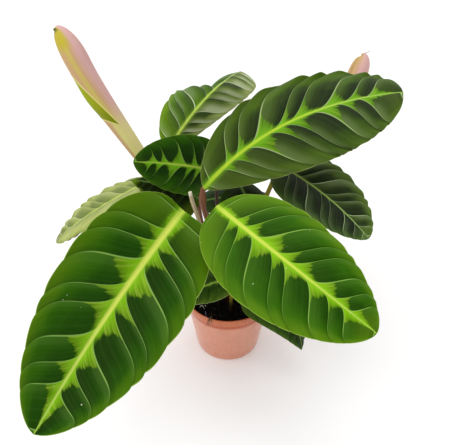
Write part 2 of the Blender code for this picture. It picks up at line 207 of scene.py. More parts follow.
# Turns points and faces into an object with a UV map, point values, and one or more materials.
def makePiece(name, points, faces, uv, paints, faceSlots=None, values=None, sharp=50):
    mesh = bpy.data.meshes.new(name)
    mesh.from_pydata(points.reshape(-1, 3), [], faces)
    layer = mesh.uv_layers.new(name="surface")
    layer.data.foreach_set("uv", np.asarray(uv, np.float32).reshape(-1))
    for key, numbers in (values or {}).items():
        mesh.attributes.new(key, "FLOAT", "POINT").data.foreach_set("value", np.asarray(numbers, np.float32))
    for paint in paints:
        mesh.materials.append(paint)
    if faceSlots is not None:
        mesh.polygons.foreach_set("material_index", np.asarray(faceSlots, np.int32))
    mesh.shade_smooth()
    mesh.set_sharp_from_angle(angle=math.radians(sharp))
    piece = bpy.data.objects.new(name, mesh)
    bpy.context.scene.collection.objects.link(piece)
    return piece


# Rides the piece on the plant and hides the solids that it stands for. Its slot is not used.
def place(piece, slot, *nodes):
    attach(piece, "root")
    if nodes:
        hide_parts(*nodes)
    return piece


# A tube along a path: circles square to it, scaled by the radius there and by the section's factor for
# each angle and row. Both ends close in a point at their middle. Gives points, faces and corner UVs
# (along, round).
def tube(path, radii, sides=24, section=1.0, ends=(None, None), turn=0.0):
    tangent = unit(np.gradient(path, axis=0))
    for row, direction in zip((0, -1), ends):
        if direction is not None:
            tangent[row] = direction
    across = [unit(np.cross(tangent[0], (0.0, 1.0, 0.0)))]
    for direction in tangent[1:]:
        across.append(unit(across[-1] - direction * (across[-1] @ direction)))
    across = np.array(across)
    up = np.cross(tangent, across)
    rows = len(path)
    angle = (np.arange(sides) * 2 * math.pi / sides + math.radians(turn))[None, :]
    spokes = across[:, None] * np.cos(angle)[..., None] + up[:, None] * np.sin(angle)[..., None]
    points = path[:, None] + spokes * (radii[:, None] * section * np.ones((rows, sides)))[..., None]
    quads, cornerRow, cornerColumn = gridQuads(rows, sides, closed=True)
    length = np.concatenate([[0], np.cumsum(np.linalg.norm(np.diff(path, axis=0), axis=1))])
    share = length / length[-1]
    uv = np.stack([share[cornerRow], cornerColumn / sides], -1).reshape(-1, 2)
    first, last = rows * sides, rows * sides + 1
    ring = np.arange(sides)
    after = (ring + 1) % sides
    end = (rows - 1) * sides
    caps = [[a, b, first] for a, b in zip(ring, after)]
    caps += [[end + b, end + a, last] for a, b in zip(ring, after)]
    uv = uv.reshape(-1, 4, 2)[:, ::-1].reshape(-1, 2)
    capUv = np.repeat([[0.0, 0.5], [1.0, 0.5]], 3 * sides, axis=0)
    points = np.concatenate([points.reshape(-1, 3), [path[0], path[-1]]])
    return points, quads[:, ::-1].tolist() + caps, np.concatenate([uv, capUv])


# Leaves

# The open leaves, each in its solid's place: foot of the stalk and base of the blade; the midrib's
# heading, bend, slope and length; the blade's roll, half widths, fullness, cup and droop; its side veins,
# quilt and margin waves; and the stalk's straight ends. Pairs are for the base and the tip, or for the
# left and right half. Some also have a stout stalk, a sheath that swells it, its direction of arrival and
# how far under the blade it ends, deeper lobes, a fuller shoulder beside the base, or a fold: the share
# of the length where the left half turns down most, how far to each side, and the angle.
leafShapes = {
    "front_left": dict(
        foot=(-0.012, -0.018), base=(-0.0492, -0.0759, 0.2812), heading=-147, bend=-19, slope=(-19, -4),
        length=0.2498, roll=(43, 36), half=(0.065, 0.067), full=(0.38, 0.56), cup=(17, 17), droop=-3,
        veins=10, quilt=0.001, wave=0.0006, rise=0.11, reach=0.014, lobe=0.032, shoulder=(0.40, 0.0)),
    "front_right": dict(
        foot=(0.000, -0.018), base=(-0.013, -0.083, 0.291), heading=140, bend=-14, slope=(-6, -21),
        length=0.198, roll=(-22, -19), half=(0.054, 0.058), full=(0.45, 0.60), cup=(10, 6), droop=12,
        veins=10, quilt=0.001, wave=0.0006, rise=0.11, reach=0.014, shoulder=(0.0, 0.25)),
    "upper_right": dict(
        foot=(-0.006, -0.004), base=(-0.0275, -0.0460, 0.2895), heading=43, bend=55, slope=(28, 8),
        length=0.261, roll=(-43, -20), half=(0.060, 0.060), full=(0.71, 0.46), cup=(6, 2), droop=15,
        veins=10, quilt=0.0014, wave=0.0026, rise=0.12, reach=0.055, stout=1.45, sheath=0.55, lobe=0.045,
        under=0.0, arrival=(0.11, -0.10, 1.0)),
    "right_back": dict(
        foot=(0.022, 0.012), base=(0.062, 0.050, 0.268), heading=124, bend=12, slope=(-11, -31),
        length=0.149, roll=(-14, -6), half=(0.050, 0.047), full=(0.40, 0.60), cup=(13, 11), droop=10,
        veins=9, quilt=0.0012, wave=0.001, rise=0.09, reach=0.010, stout=1.45, sheath=1.1, lobe=0.03),
    "small_left": dict(
        foot=(-0.012, 0.008), base=(-0.012, 0.026, 0.270), heading=-125, bend=11, slope=(30, 13),
        length=0.116, roll=(81, 78), half=(0.035, 0.037), full=(0.39, 0.60), cup=(10, 12), droop=8,
        veins=7, quilt=0.001, wave=0.0006, rise=0.10, reach=0.012),
    "top_back": dict(
        foot=(-0.014, 0.018), base=(-0.077, 0.069, 0.280), heading=49, bend=-25, slope=(49, -10),
        length=0.183, roll=(-48, 8), half=(0.066, 0.037), full=(0.47, 0.14), cup=(-8, -14), droop=20,
        veins=9, quilt=0.0027, wave=0.0014, rise=0.08, reach=0.030, fold=(0.76, 0.11, 45), lobe=0.04),
    "far_left": dict(
        foot=(-0.030, 0.008), base=(-0.086, 0.034, 0.259), heading=-116, bend=20, slope=(-12, -41),
        length=0.160, roll=(-18, 0), half=(0.046, 0.046), full=(0.55, 0.60), cup=(13, 12), droop=10,
        veins=9, quilt=0.0016, wave=0.0014, rise=0.08, reach=0.025, lobe=0.12),
    "middle_left": dict(
        foot=(-0.026, 0.000), base=(-0.033, 0.004, 0.243), heading=-95, bend=-5, slope=(35, 10),
        length=0.091, roll=(8, 5), half=(0.035, 0.020), full=(0.30, 0.90), cup=(-48, 10), droop=8,
        veins=7, quilt=0.0012, wave=0.0008, rise=0.08, reach=0.012),
    "middle_right": dict(
        foot=(0.008, 0.002), base=(0.012, 0.014, 0.262), heading=158, bend=4, slope=(-14, -46),
        length=0.120, roll=(-4, 0), half=(0.027, 0.0375), full=(0.42, 0.60), cup=(8, 8), droop=14,
        veins=8, quilt=0.0014, wave=0.0010, rise=0.09, reach=0.012, lobe=0.0),
    "middle_back": dict(
        foot=(-0.004, 0.031), base=(-0.038, 0.078, 0.192), heading=78, bend=8, slope=(12, -20),
        length=0.108, roll=(0, 0), half=(0.033, 0.040), full=(0.42, 0.60), cup=(9, -4), droop=10,
        veins=8, quilt=0.0014, wave=0.0010, rise=0.05, reach=0.012),
    "low_centre": dict(
        foot=(0.004, -0.030), base=(0.006, -0.062, 0.173), heading=-110, bend=-8, slope=(4, -16),
        length=0.072, roll=(6, 6), half=(0.026, 0.026), full=(0.45, 0.60), cup=(8, 8), droop=8,
        veins=6, quilt=0.0010, wave=0.0006, rise=0.04, reach=0.012),
    "low_right": dict(
        foot=(0.016, -0.014), base=(0.024, -0.021, 0.128), heading=124, bend=0, slope=(5, -85),
        length=0.130, roll=(-14, -4), half=(0.034, 0.038), full=(0.30, 0.90), cup=(8, -12), droop=10,
        veins=7, quilt=0.0012, wave=0.0008, rise=0.016, reach=0.008),
}

# What every blade shares: thickness at the middle and at the margin, its narrowest half widths, the rib
# below and the ridge above, the spacing, depth and sweep of the side veins, the powers that shape lobes
# and quilt, and how many points are laid along each vein's spacing, across each half and along the
# midrib.
bladeMake = dict(
    thick=0.00062, edgeThick=0.00030, baseHalf=0.0013, tipHalf=0.0004, ribDepth=0.0013, ribTaper=0.7,
    ribSpread=0.0016, ridge=0.00030, ridgeSpread=0.0024, stagger=0.30, jitter=0.20, jitterRate=2.3,
    veinPower=0.74, veinGroove=0.00012, grooveSpread=0.05, pleat=0.000015, pleats=4, lobe=0.02,
    lobePower=0.7, lobeMean=0.6, quiltPower=0.8, quiltOut=0.85, sweepAtRib=(0.16, 0.08), sweep=1.15,
    sweepAtEdge=(0.8, 7), shoulderLength=0.06, rowsPerVein=26, rowsTowardBase=1.3, columnsPerHalf=36,
    columnsTowardRib=1.15, midribSteps=900, slopeStep=0.0015)


# Place, direction, right-hand and upward vectors along the midrib: heading and slope change evenly along
# it, and the place is the sum of the steps taken. The blade's roll turns right and up about the
# direction.
def midrib(leaf, along):
    count = bladeMake["midribSteps"]
    steps = np.linspace(0, 1, count + 1)
    heading = np.radians(leaf["heading"] + leaf["bend"] * steps)
    slope = np.radians(leaf["slope"][0] + (leaf["slope"][1] - leaf["slope"][0]) * steps)
    level = np.cos(slope)
    direction = np.stack([np.sin(heading) * level, np.cos(heading) * level, np.sin(slope)], -1)
    stride = (direction[1:] + direction[:-1]) / 2 * leaf["length"] / count
    point = np.concatenate([[np.zeros(3)], np.cumsum(stride, axis=0)]) + np.array(leaf["base"])
    aside = np.stack([np.cos(heading), -np.sin(heading), np.zeros_like(heading)], -1)
    rising = np.cross(aside, direction)
    roll = np.radians(leaf["roll"][0] + (leaf["roll"][1] - leaf["roll"][0]) * steps)[:, None]
    right = aside * np.cos(roll) + rising * np.sin(roll)
    above = rising * np.cos(roll) - aside * np.sin(roll)

    def at(numbers):
        return np.stack([np.interp(along, steps, numbers[:, i]) for i in range(3)], -1)

    return at(point), unit(at(direction)), unit(at(right)), unit(at(above))


# Half the blade's width: the product of a power of the way from the base and one of the way to the tip. A
# shoulder makes it fuller beside the base, by a share that falls off as an exponential.
def halfWidth(leaf, along, side):
    widest = np.where(side < 0, *leaf["half"])
    towardBase, towardTip = leaf["full"]
    peak = towardBase / (towardBase + towardTip)
    share = (along / peak) ** towardBase * ((1 - along) / (1 - peak)) ** towardTip
    shoulder = leaf.get("shoulder", (0.0, 0.0))
    share = share * (1 + np.where(side < 0, *shoulder) * np.exp(-along / bladeMake["shoulderLength"]))
    least = bladeMake["baseHalf"] + (bladeMake["tipHalf"] - bladeMake["baseHalf"]) * along
    return np.maximum(widest * share, least)


# Where a side vein has got to along the leaf, at a share of the half width. It starts at vein and stays
# between the base and the tip: (1 + b) vein / (1 + b vein), where b is how far it sweeps forward. b grows
# quickly beside the midrib, then evenly, and fast again near the margin.
def veinReach(leaf, vein, out):
    atRib, within = bladeMake["sweepAtRib"]
    atEdge, power = bladeMake["sweepAtEdge"]
    sweep = atRib * (1 - np.exp(-out / within)) + bladeMake["sweep"] * out + atEdge * out**power
    return (1 + sweep) * vein / (1 + sweep * vein)


# How many side veins start before this point of the midrib: a power of the way along, as they stand
# closer near the base. A sine makes them uneven, and the right half's are set off a little. bladeGrid
# colours by the same.
def veinCount(leaf, vein, across):
    count = leaf["veins"] * vein ** bladeMake["veinPower"] + np.where(across > 0, bladeMake["stagger"], 0.0)
    return count + bladeMake["jitter"] * np.sin(bladeMake["jitterRate"] * count)


# The blade's middle surface. vein is the share of the midrib where a side vein starts and across runs
# from -1 to 1. Each half is lifted by the cup angle, dips at the veins and swells between them like a
# quilt; its margin ripples and is a little lobed between the veins, and fine pleats run along them.
def bladeSurface(leaf, vein, across):
    make = bladeMake
    out = np.abs(across)
    along = veinReach(leaf, vein, out)
    point, _, right, above = midrib(leaf, along)
    count = veinCount(leaf, vein, across)
    hump = np.abs(np.sin(math.pi * count))
    lobes = hump ** make["lobePower"] - make["lobeMean"]
    width = halfWidth(leaf, along, across) * (1 + leaf.get("lobe", make["lobe"]) * lobes * out**4)
    middle, spread, angle = leaf.get("fold", (0.5, 1.0, 0.0))
    fold = np.where(across < 0, angle * np.exp(-(((along - middle) / spread) ** 2)), 0)
    lift = np.radians(np.where(across < 0, *leaf["cup"]) - leaf["droop"] * out - fold)
    fade = np.clip(4 * vein * (1 - vein), 0, 1)
    swell = leaf["quilt"] * (2 * hump ** make["quiltPower"] - 1) * np.sin(math.pi * out ** make["quiltOut"])
    ripple = leaf["wave"] * -np.cos(2 * math.pi * count) * out**3
    toVein = np.abs(count - np.round(count)) / make["grooveSpread"]
    groove = make["veinGroove"] * np.exp(-(toVein**2)) * np.sin(math.pi * np.minimum(out, 0.7))
    pleat = make["pleat"] * np.cos(2 * math.pi * make["pleats"] * count) * np.sin(math.pi * out)
    sideways = (across * width * np.cos(lift))[..., None]
    upward = out * width * np.sin(lift) + (swell + ripple - groove + pleat) * fade
    return point + right * sideways + above * upward[..., None]


# A closed blade: the middle surface moved half the thickness up and down its normal, with the rib below
# and a low ridge above, both bell-shaped across the midrib.
def bladePoints(leaf):
    make = bladeMake
    rows = leaf["veins"] * make["rowsPerVein"] + 1
    even = np.linspace(0, 1, rows)
    vein = even / (1 + make["rowsTowardBase"] * (1 - even))
    half = np.linspace(0, 1, make["columnsPerHalf"] + 1) ** make["columnsTowardRib"]
    across = np.concatenate([-half[:0:-1], half])
    vein, across = np.meshgrid(vein, across, indexing="ij")
    middle = bladeSurface(leaf, vein, across)
    step = make["slopeStep"]
    before, after = np.maximum(vein - step, 0), np.minimum(vein + step, 1)
    ahead = bladeSurface(leaf, after, across) - bladeSurface(leaf, before, across)
    left, right = np.maximum(across - step, -1), np.minimum(across + step, 1)
    aside = bladeSurface(leaf, vein, right) - bladeSurface(leaf, vein, left)
    _, _, _, above = midrib(leaf, vein)
    normal = np.cross(aside, ahead)
    nearEnd = (vein < 4 * step) | (vein > 1 - 4 * step)
    normal = np.where(nearEnd[..., None], above, unit(normal))
    normal *= np.sign(np.sum(normal * above, -1, keepdims=True))
    out = np.abs(across)
    width = halfWidth(leaf, veinReach(leaf, vein, out), across)
    fromRib = out * width
    thick = make["thick"] + (make["edgeThick"] - make["thick"]) * out**2
    rib = make["ribDepth"] * (1 - make["ribTaper"] * vein) * np.exp(-((fromRib / make["ribSpread"]) ** 2))
    ridge = make["ridge"] * (1 - vein) * np.exp(-((fromRib / make["ridgeSpread"]) ** 2))
    top = middle + normal * (thick / 2 + ridge)[..., None]
    bottom = middle - normal * (thick / 2 + rib)[..., None]
    return vein, across, fromRib, (1 - out) * width, top, bottom


# The edge of a grid, point by point all the way round.
def rimOf(rows, columns):
    side = np.arange(1, rows) * columns
    return np.concatenate([
        np.arange(columns), side + columns - 1, side[-1] + np.arange(columns - 1)[::-1], side[:-1][::-1]])


# The blade as a mesh: its upper and lower grid and a strip round the edge between them. Its points know
# how far they are from the midrib and from the margin, in millimetres.
def makeBlade(name, leaf, topPaint, underPaint):
    vein, across, fromRib, toEdge, top, bottom = bladePoints(leaf)
    rows, columns = vein.shape
    count = rows * columns
    quads, _, _ = gridQuads(rows, columns)
    rim = rimOf(rows, columns)
    after = np.roll(rim, -1)
    sides = np.stack([after, rim, rim + count, after + count], -1)
    under = quads[:, ::-1] + count
    faces = np.concatenate([quads, under, sides])
    pointUv = np.tile(np.stack([vein, across], -1).reshape(-1, 2), (2, 1))
    slots = np.repeat([0, 1, 0], [len(quads), len(under), len(sides)])
    values = {
        "fromRib": np.tile(fromRib.reshape(-1) * 1000, 2),
        "toEdge": np.tile(toEdge.reshape(-1) * 1000, 2),
    }
    points = np.concatenate([top.reshape(-1, 3), bottom.reshape(-1, 3)])
    middleFace = quads[len(quads) // 2]
    corner = points[middleFace]
    outward = corner[0] - points[middleFace[0] + count]
    if np.cross(corner[1] - corner[0], corner[3] - corner[0]) @ outward < 0:
        faces = faces[:, ::-1]
    uv = pointUv[faces.reshape(-1)]
    piece = makePiece("leaf_" + name, points, faces.tolist(), uv, [topPaint, underPaint], slots, values)
    place(piece, "leaf_blade", "blade_" + name)


# How each blade is coloured, in screen colours: the dark patches and the open field, its edge, the splash
# along the midrib, the midrib itself, the side veins and the margin line. The edge's lighter colour towards
# the margin is partly the blade's own paler band and partly painted glow of light through the thin blade.
# reach is how far out the splash goes beside a vein and foot how far it still goes at the next one, fall the
# power between them, spike its thin end along the vein and feather how ragged it is. darkTo is how far out
# the patches go, fine and veinClear how much the fine lines and the side veins show, and ribWide the
# midrib's half width at the base, in millimetres. Pairs give the left and right half: relief is how much
# lighter the tip side of each vein is than the base side of the next, a painted relief shading, and glow how
# pale the strip beside it, a painted highlight. paleBase and paleTip are how much both ends take the edge's
# colour, which at the base is a painted sheen, baseTo how far up the blade the base does so, and dust how
# clear a few white specks are. A colour whose name ends in Left stands for the left half alone. shine is the
# colour of reflections.
# The plain look's colours are dark: painted shade for blades that lie deep under the others.
plainLook = dict(
    dark=(18, 36, 16), field=(32, 60, 24), edge=(60, 92, 36), splash=(48, 84, 30), rib=(96, 130, 58),
    vein=(70, 100, 52), margin=(92, 120, 58), reach=0.12, foot=0.03, fall=1.8, spike=0.08, feather=0.16,
    darkTo=0.5, fine=0.02, veinClear=0.8, ribWide=1.2, relief=(0.35, 0.35), glow=(0.0, 0.0), paleBase=0.3,
    baseTo=0.15, paleTip=0.0, dust=0.0, shine=(0.65, 0.85, 0.22))
leafLooks = {
    "front_left": dict(
        dark=(24, 70, 4), darkLeft=(10, 50, 2), field=(50, 102, 4), fieldLeft=(27, 78, 0),
        edge=(96, 132, 12), edgeLeft=(86, 128, 6), splash=(112, 166, 14), rib=(216, 230, 98),
        vein=(150, 194, 96), margin=(170, 196, 96), reach=0.37, foot=0.05, fall=1.2, feather=0.30,
        darkTo=0.56, ribWide=3.8, relief=(0.42, 0.36), glow=(0.12, 0.08), paleBase=0.45, dust=0.7),
    "front_right": dict(
        dark=(22, 66, 2), field=(46, 98, 2), edge=(108, 148, 24), splash=(114, 170, 10), rib=(204, 222, 84),
        vein=(144, 188, 84), margin=(160, 190, 80), reach=0.33, foot=0.045, fall=1.2, feather=0.28,
        ribWide=2.3, veinClear=0.9, relief=(0.45, 0.45), glow=(0.05, 0.05), paleBase=0.45, paleTip=0.4,
        dust=0.5),
    "upper_right": dict(
        dark=(26, 40, 20), field=(58, 86, 20), fieldLeft=(78, 112, 14), edge=(84, 108, 36),
        edgeLeft=(52, 74, 4), splash=(96, 152, 22), rib=(178, 210, 54), vein=(164, 186, 124),
        margin=(150, 160, 96), reach=0.40, foot=0.02, spike=0.18, feather=0.30, darkTo=0.62, ribWide=2.1,
        veinClear=1.0, relief=(0.42, 0.60), glow=(0.08, 0.24), paleBase=0.6, baseTo=0.40, paleTip=0.5,
        shine=(0.75, 0.95, 0.35)),
    "right_back": dict(
        dark=(12, 24, 10), darkLeft=(26, 40, 18), field=(38, 58, 24), fieldLeft=(84, 110, 40),
        edge=(88, 120, 48), edgeLeft=(98, 126, 50), splash=(66, 98, 36), rib=(160, 186, 92),
        vein=(174, 198, 142), margin=(124, 146, 80), reach=0.06, foot=0.02, fall=2.0, spike=0.05,
        feather=0.10, darkTo=0.60,
        ribWide=1.4, veinClear=1.0, relief=(0.60, 0.40), glow=(0.20, 0.10), paleTip=0.7,
        shine=(0.80, 0.95, 0.50)),
    "small_left": dict(
        dark=(12, 44, 6), field=(32, 78, 4), edge=(60, 102, 14), splash=(98, 160, 14), rib=(184, 210, 82),
        vein=(132, 172, 78), margin=(110, 142, 50), reach=0.62, fall=2.0, spike=0.20, feather=0.26,
        darkTo=0.55, ribWide=1.6, paleTip=0.6),
    "top_back": dict(
        dark=(36, 56, 14), darkLeft=(56, 84, 20), field=(126, 148, 72), fieldLeft=(84, 126, 2),
        edge=(158, 170, 106), edgeLeft=(116, 150, 8), splash=(110, 150, 44), rib=(184, 208, 88),
        vein=(222, 232, 194), margin=(180, 190, 130), reach=0.04, foot=0.02, fall=1.4, spike=0.04,
        feather=0.06, darkTo=0.62, ribWide=1.6, veinClear=1.0, relief=(0.6, 0.9), glow=(0.15, 0.55),
        paleTip=0.4),
    "far_left": dict(
        dark=(118, 134, 70), field=(180, 190, 106), edge=(120, 132, 62), splash=(164, 184, 84),
        rib=(206, 218, 112), vein=(206, 216, 150), margin=(172, 182, 112), reach=0.05, foot=0.02,
        fall=1.4, spike=0.05, feather=0.06, ribWide=1.4, veinClear=1.0, relief=(0.7, 0.6), glow=(0.3, 0.2),
        paleTip=1.0),
    # middle_left and middle_right are coloured near black: painted shade, as they lie deep under the other
    # blades.
    "middle_left": dict(
        dark=(8, 22, 4), field=(24, 46, 8), edge=(112, 142, 16), darkTo=0.7, paleTip=1.0),
    "middle_right": dict(
        dark=(4, 14, 2), field=(12, 30, 4), edge=(36, 64, 14), splash=(44, 76, 18), reach=0.16,
        feather=0.20),
    # middle_back takes the plain look's dark colours: painted shade.
    "middle_back": dict(),
    "low_centre": dict(
        dark=(28, 62, 8), field=(62, 98, 18), edge=(112, 140, 48), splash=(92, 138, 30), rib=(160, 190, 80),
        vein=(136, 166, 90), margin=(164, 182, 114), foot=0.04),
    "low_right": dict(
        dark=(18, 42, 12), field=(42, 72, 20), edge=(80, 112, 34), rib=(120, 150, 56), vein=(86, 116, 54),
        margin=(120, 146, 70)),
}
leafLooks = {name: {**plainLook, **look} for name, look in leafLooks.items()}
underLook = dict(body=(104, 62, 74), field=(84, 78, 62), rib=(150, 150, 92), vein=(128, 104, 92))
# The marks that all blades share: the scale of the skin's cells and of the specks and the noise level
# where a speck starts and is full, the specks' colour, a side vein's half width at the midrib and how
# much narrower it is at the margin, in parts of the spacing, and the depth of the fine relief.
bladeMarks = dict(
    cells=2600.0, specks=260.0, speckAt=(0.865, 0.885), speck=(226, 236, 200), veinWide=0.034,
    veinThins=0.014, relief=0.0003)


# The place in the blade's pattern: the side veins' count at this point, the share of the half width, and
# which half it is on.
def bladeGrid(paint, leaf):
    vein, across = paint.uv()
    out = abs(across)
    rightHalf = across.step(-0.0001, 0.0001)
    count = vein ** bladeMake["veinPower"] * float(leaf["veins"]) + rightHalf * bladeMake["stagger"]
    count = count + (count * bladeMake["jitterRate"]).wave() * bladeMake["jitter"]
    return vein, out, count, rightHalf


# The upper face. Dark patches beside the midrib turn lighter towards the margin, by a smooth step. Beside
# each vein, on the side of the tip, a light tooth stands on the midrib: its reach falls as a power of the
# way to the next vein, and noise drawn out along the veins feathers it. Thin veins, a soft bright midrib
# that takes the veins' colour towards the tip, and a pale margin lie over them.
def leafTopPaint(name, leaf, look, seed):
    paint = Paint("leaf_top_" + name)
    vein, out, count, rightHalf = bladeGrid(paint, leaf)
    fromRib = paint.attribute("fromRib")
    toEdge = paint.attribute("toEdge")

    # a colour and a number of the look on this half
    def tone(key, strength=1.0):
        left = look.get(key + "Left", look[key])
        return paint.mix(rightHalf, tint(*left, strength), tint(*look[key], strength))

    def share(key):
        return rightHalf * (look[key][1] - look[key][0]) + look[key][0]

    shift = rightHalf * 7.3 + float(seed)
    past = count.part()
    left = 1.0 - past
    tooth = paint.drawn(count.whole() * 3.7, shift, 0.0, 0.0)
    streaks = paint.drawn(count * 14.0, out * 2.5, shift, 3.0)
    fingers = paint.drawn(count * 7.0, out * 1.5, shift, 4.0, 0.6)
    patches = paint.drawn(count * 0.9, out * 2.6, shift, 2.0)
    size = (1.0 - vein * 0.45) * (0.65 + tooth * 0.7) * (0.45 + vein.step(0.0, 0.14) * 0.55)
    reach = left ** look["fall"] * look["reach"] * size + look["foot"]
    reach = reach + left ** 14.0 * look["spike"] + (fingers - 0.5) * (left * 0.7 + 0.3) * look["feather"]
    splash = (reach - out).step(-0.020, 0.030)
    dark = (out + (patches - 0.5) * 0.7 - look["darkTo"]).step(0.34, -0.22)
    # Painted relief shading: the dark patches are lighter on the tip side of each vein.
    dark = dark * (1.0 - past.step(0.75, 0.05) * share("relief"))
    colour = paint.mix(dark, tone("field"), tone("dark"))
    colour = paint.mix((streaks - 0.5).step(0.0, 0.3) * 0.08, colour, tone("field", 1.5))
    toVein = count.toWhole()
    minor = (count * 5.0).toWhole().step(0.20, 0.03)
    colour = paint.mix(minor * look["fine"], colour, tint(*look["vein"]))
    # Towards the margin the colour turns to the edge's: partly the blade's own paler band, partly painted glow
    # of light through the thin blade.
    colour = paint.mix((out + (patches - 0.5) * 0.4).step(0.68, 1.05) * 0.6, colour, tone("edge"))
    # Both ends take the edge's colour; at the base this is a painted sheen.
    baseEnd = (vein - out * 0.06).step(look["baseTo"], 0.0) * look["paleBase"]
    tipEnd = vein.step(0.80, 0.97) * look["paleTip"]
    colour = paint.mix(baseEnd + tipEnd, colour, tone("edge"))
    # A pale strip beside each vein on its tip side: a painted highlight.
    glow = past.step(0.45, 0.0) * out.step(0.08, 0.40) * out.step(1.1, 0.8) * share("glow")
    colour = paint.mix(glow, colour, tint(*look["vein"]))
    outward = (out / reach.atLeast(0.05)).step(0.15, 1.0)
    bright = paint.mix(outward, tint(*look["splash"], 1.2), tint(*look["splash"], 0.60))
    bright = paint.mix((streaks - 0.45).step(0.0, 0.2) * 0.20, bright, tint(*look["rib"]))
    colour = paint.mix(splash, colour, bright)
    # Painted shade on the base side of each vein, where the quilt dips, outside the splash.
    shade = left.step(0.22, 0.02) * (1.0 - splash) * 0.35
    colour = paint.mix(shade, colour, tone("dark", 0.7))
    veinWide = bladeMarks["veinWide"] - out * bladeMarks["veinThins"]
    fade = (out + vein * 0.12).step(1.06, 0.6) * (0.65 + tooth * 0.5)
    veinLine = toVein.step(veinWide, veinWide * 0.35) * fade * look["veinClear"]
    colour = paint.mix(veinLine, colour, tint(*look["vein"]))
    ribWide = (1.0 - vein) ** 0.8 * look["ribWide"] + 0.35
    ribGlow = fromRib.step(ribWide * 3.2, ribWide * 0.6) * 0.45
    colour = paint.mix(ribGlow * (1.0 - vein).step(0.0, 0.35), colour, tint(*look["splash"], 1.5))
    ribLine = fromRib.step(ribWide * 1.4, ribWide * 0.35) * (0.6 + vein.step(0.0, 0.08) * 0.4)
    ribColour = paint.mix(vein.step(0.45, 1.0) * 0.6, tint(*look["rib"]), tint(*look["vein"]))
    colour = paint.mix(ribLine, colour, ribColour)
    colour = paint.mix(toEdge.step(0.75, 0.2) * 0.8, colour, tint(*look["margin"]))
    cells = paint.noise(paint.place(), bladeMarks["cells"], 1.0)
    if look["dust"]:
        specks = paint.noise(paint.place(), bladeMarks["specks"], 0.0).step(*bladeMarks["speckAt"])
        colour = paint.mix(specks * look["dust"], colour, tint(*bladeMarks["speck"]))
    height = cells * 0.3 + streaks * 0.35 - toVein.step(0.05, 0.0) * 0.5
    rough = 0.46 + (patches - 0.5) * 0.12 + (cells - 0.5) * 0.10
    return paint.finish(
        colour, rough, height, bladeMarks["relief"], 0.30, Specular_IOR_Level=0.16,
        Specular_Tint=(*look["shine"], 1.0))


# The lower face: a dusty wine colour that the side veins and the rib cross in a paler green.
def leafUnderPaint(name, leaf, seed):
    paint = Paint("leaf_under_" + name)
    vein, out, count, rightHalf = bladeGrid(paint, leaf)
    fromRib = paint.attribute("fromRib")
    shift = rightHalf * 5.1 + float(seed)
    clouds = paint.drawn(count * 1.1, out * 3.0, shift, 3.0)
    streaks = paint.drawn(count * 18.0, out * 3.0, shift, 2.0)
    colour = paint.mix(clouds.step(0.35, 0.75), tint(*underLook["body"]), tint(*underLook["field"]))
    colour = paint.mix((streaks - 0.5).step(0.0, 0.25) * 0.25, colour, tint(*underLook["vein"]))
    veinLine = count.toWhole().step(0.05, 0.012) * out.step(1.0, 0.7) * 0.8
    colour = paint.mix(veinLine, colour, tint(*underLook["vein"]))
    ribWide = (1.0 - vein) * 2.2 + 0.4
    colour = paint.mix(fromRib.step(ribWide * 1.2, ribWide * 0.5), colour, tint(*underLook["rib"]))
    height = streaks * 0.6 + paint.noise(paint.place(), bladeMarks["cells"], 1.0) * 0.3
    rough = 0.52 + (clouds - 0.5) * 0.12
    return paint.finish(
        colour, rough, height, bladeMarks["relief"], 0.35, Sheen_Weight=0.15, Sheen_Roughness=0.5)


# Stalks

# The radius at both ends and how deep the foot stands in the soil, the swelling below the blade, the
# channel down one side, and the run under the blade: where it starts, its length, how far the arrival
# follows the rib, how deep it sinks into it, how far below it the stalk stays, how it turns and how thin
# it gets.
stalkMake = dict(
    topRadius=0.0019, footRadius=0.0028, depth=0.025, steps=56, sides=28, swell=0.16, swellAt=0.90,
    swellSpread=0.07, channel=0.10, channelSpread=0.45, under=0.005, run=0.014, bend=0.3, sink=0.5,
    clear=1.5, turnUp=0.25, taper=0.35, onwardSteps=12)
stalkLooks = {
    "red": dict(
        foot=(88, 56, 32), body=(108, 56, 42), top=(118, 66, 44), side=(128, 84, 56), streak=(66, 30, 24),
        phase=0.6),
    # The shaded look is a darker copy of the red one: painted shade for a stalk that stands under the leaves.
    "shaded": dict(
        foot=(70, 46, 26), body=(58, 34, 26), top=(62, 38, 26), side=(66, 46, 30), streak=(36, 18, 14),
        phase=0.6),
    "green": dict(
        foot=(110, 92, 40), body=(146, 138, 40), top=(156, 152, 50), side=(116, 66, 40),
        streak=(104, 66, 34), phase=4.2),
    "pale": dict(
        foot=(124, 104, 50), body=(190, 180, 96), top=(210, 202, 116), side=(190, 150, 116),
        streak=(150, 116, 74), phase=0.6),
}
# small_left's stalk takes the shaded look: painted shade.
stalkKinds = {
    "front_left": "red", "front_right": "red", "upper_right": "red", "right_back": "green",
    "small_left": "shaded", "top_back": "green", "far_left": "green", "middle_left": "red",
    "middle_right": "red", "middle_back": "green", "low_centre": "green", "low_right": "green",
}


# A cubic curve: the sum of its four points, each by its share of (s + t) cubed, where t is the way along it
# from 0 to 1 and s is the rest.
def cubic(start, first, second, end, steps):
    t = np.linspace(0, 1, steps)[:, None]
    s = 1 - t
    return s**3 * start + 3 * s**2 * t * first + 3 * s * t**2 * second + t**3 * end


# The way of a stalk: up out of the soil, then along one cubic curve that meets its end along arrival.
def stalkPath(foot, end, arrival, rise, reach):
    surface = np.array([foot[0], foot[1], stalkExit])
    buried = surface - upright * stalkMake["depth"]
    curve = cubic(surface, surface + upright * rise, end - arrival * reach, end, stalkMake["steps"])
    return np.concatenate([[buried], curve])


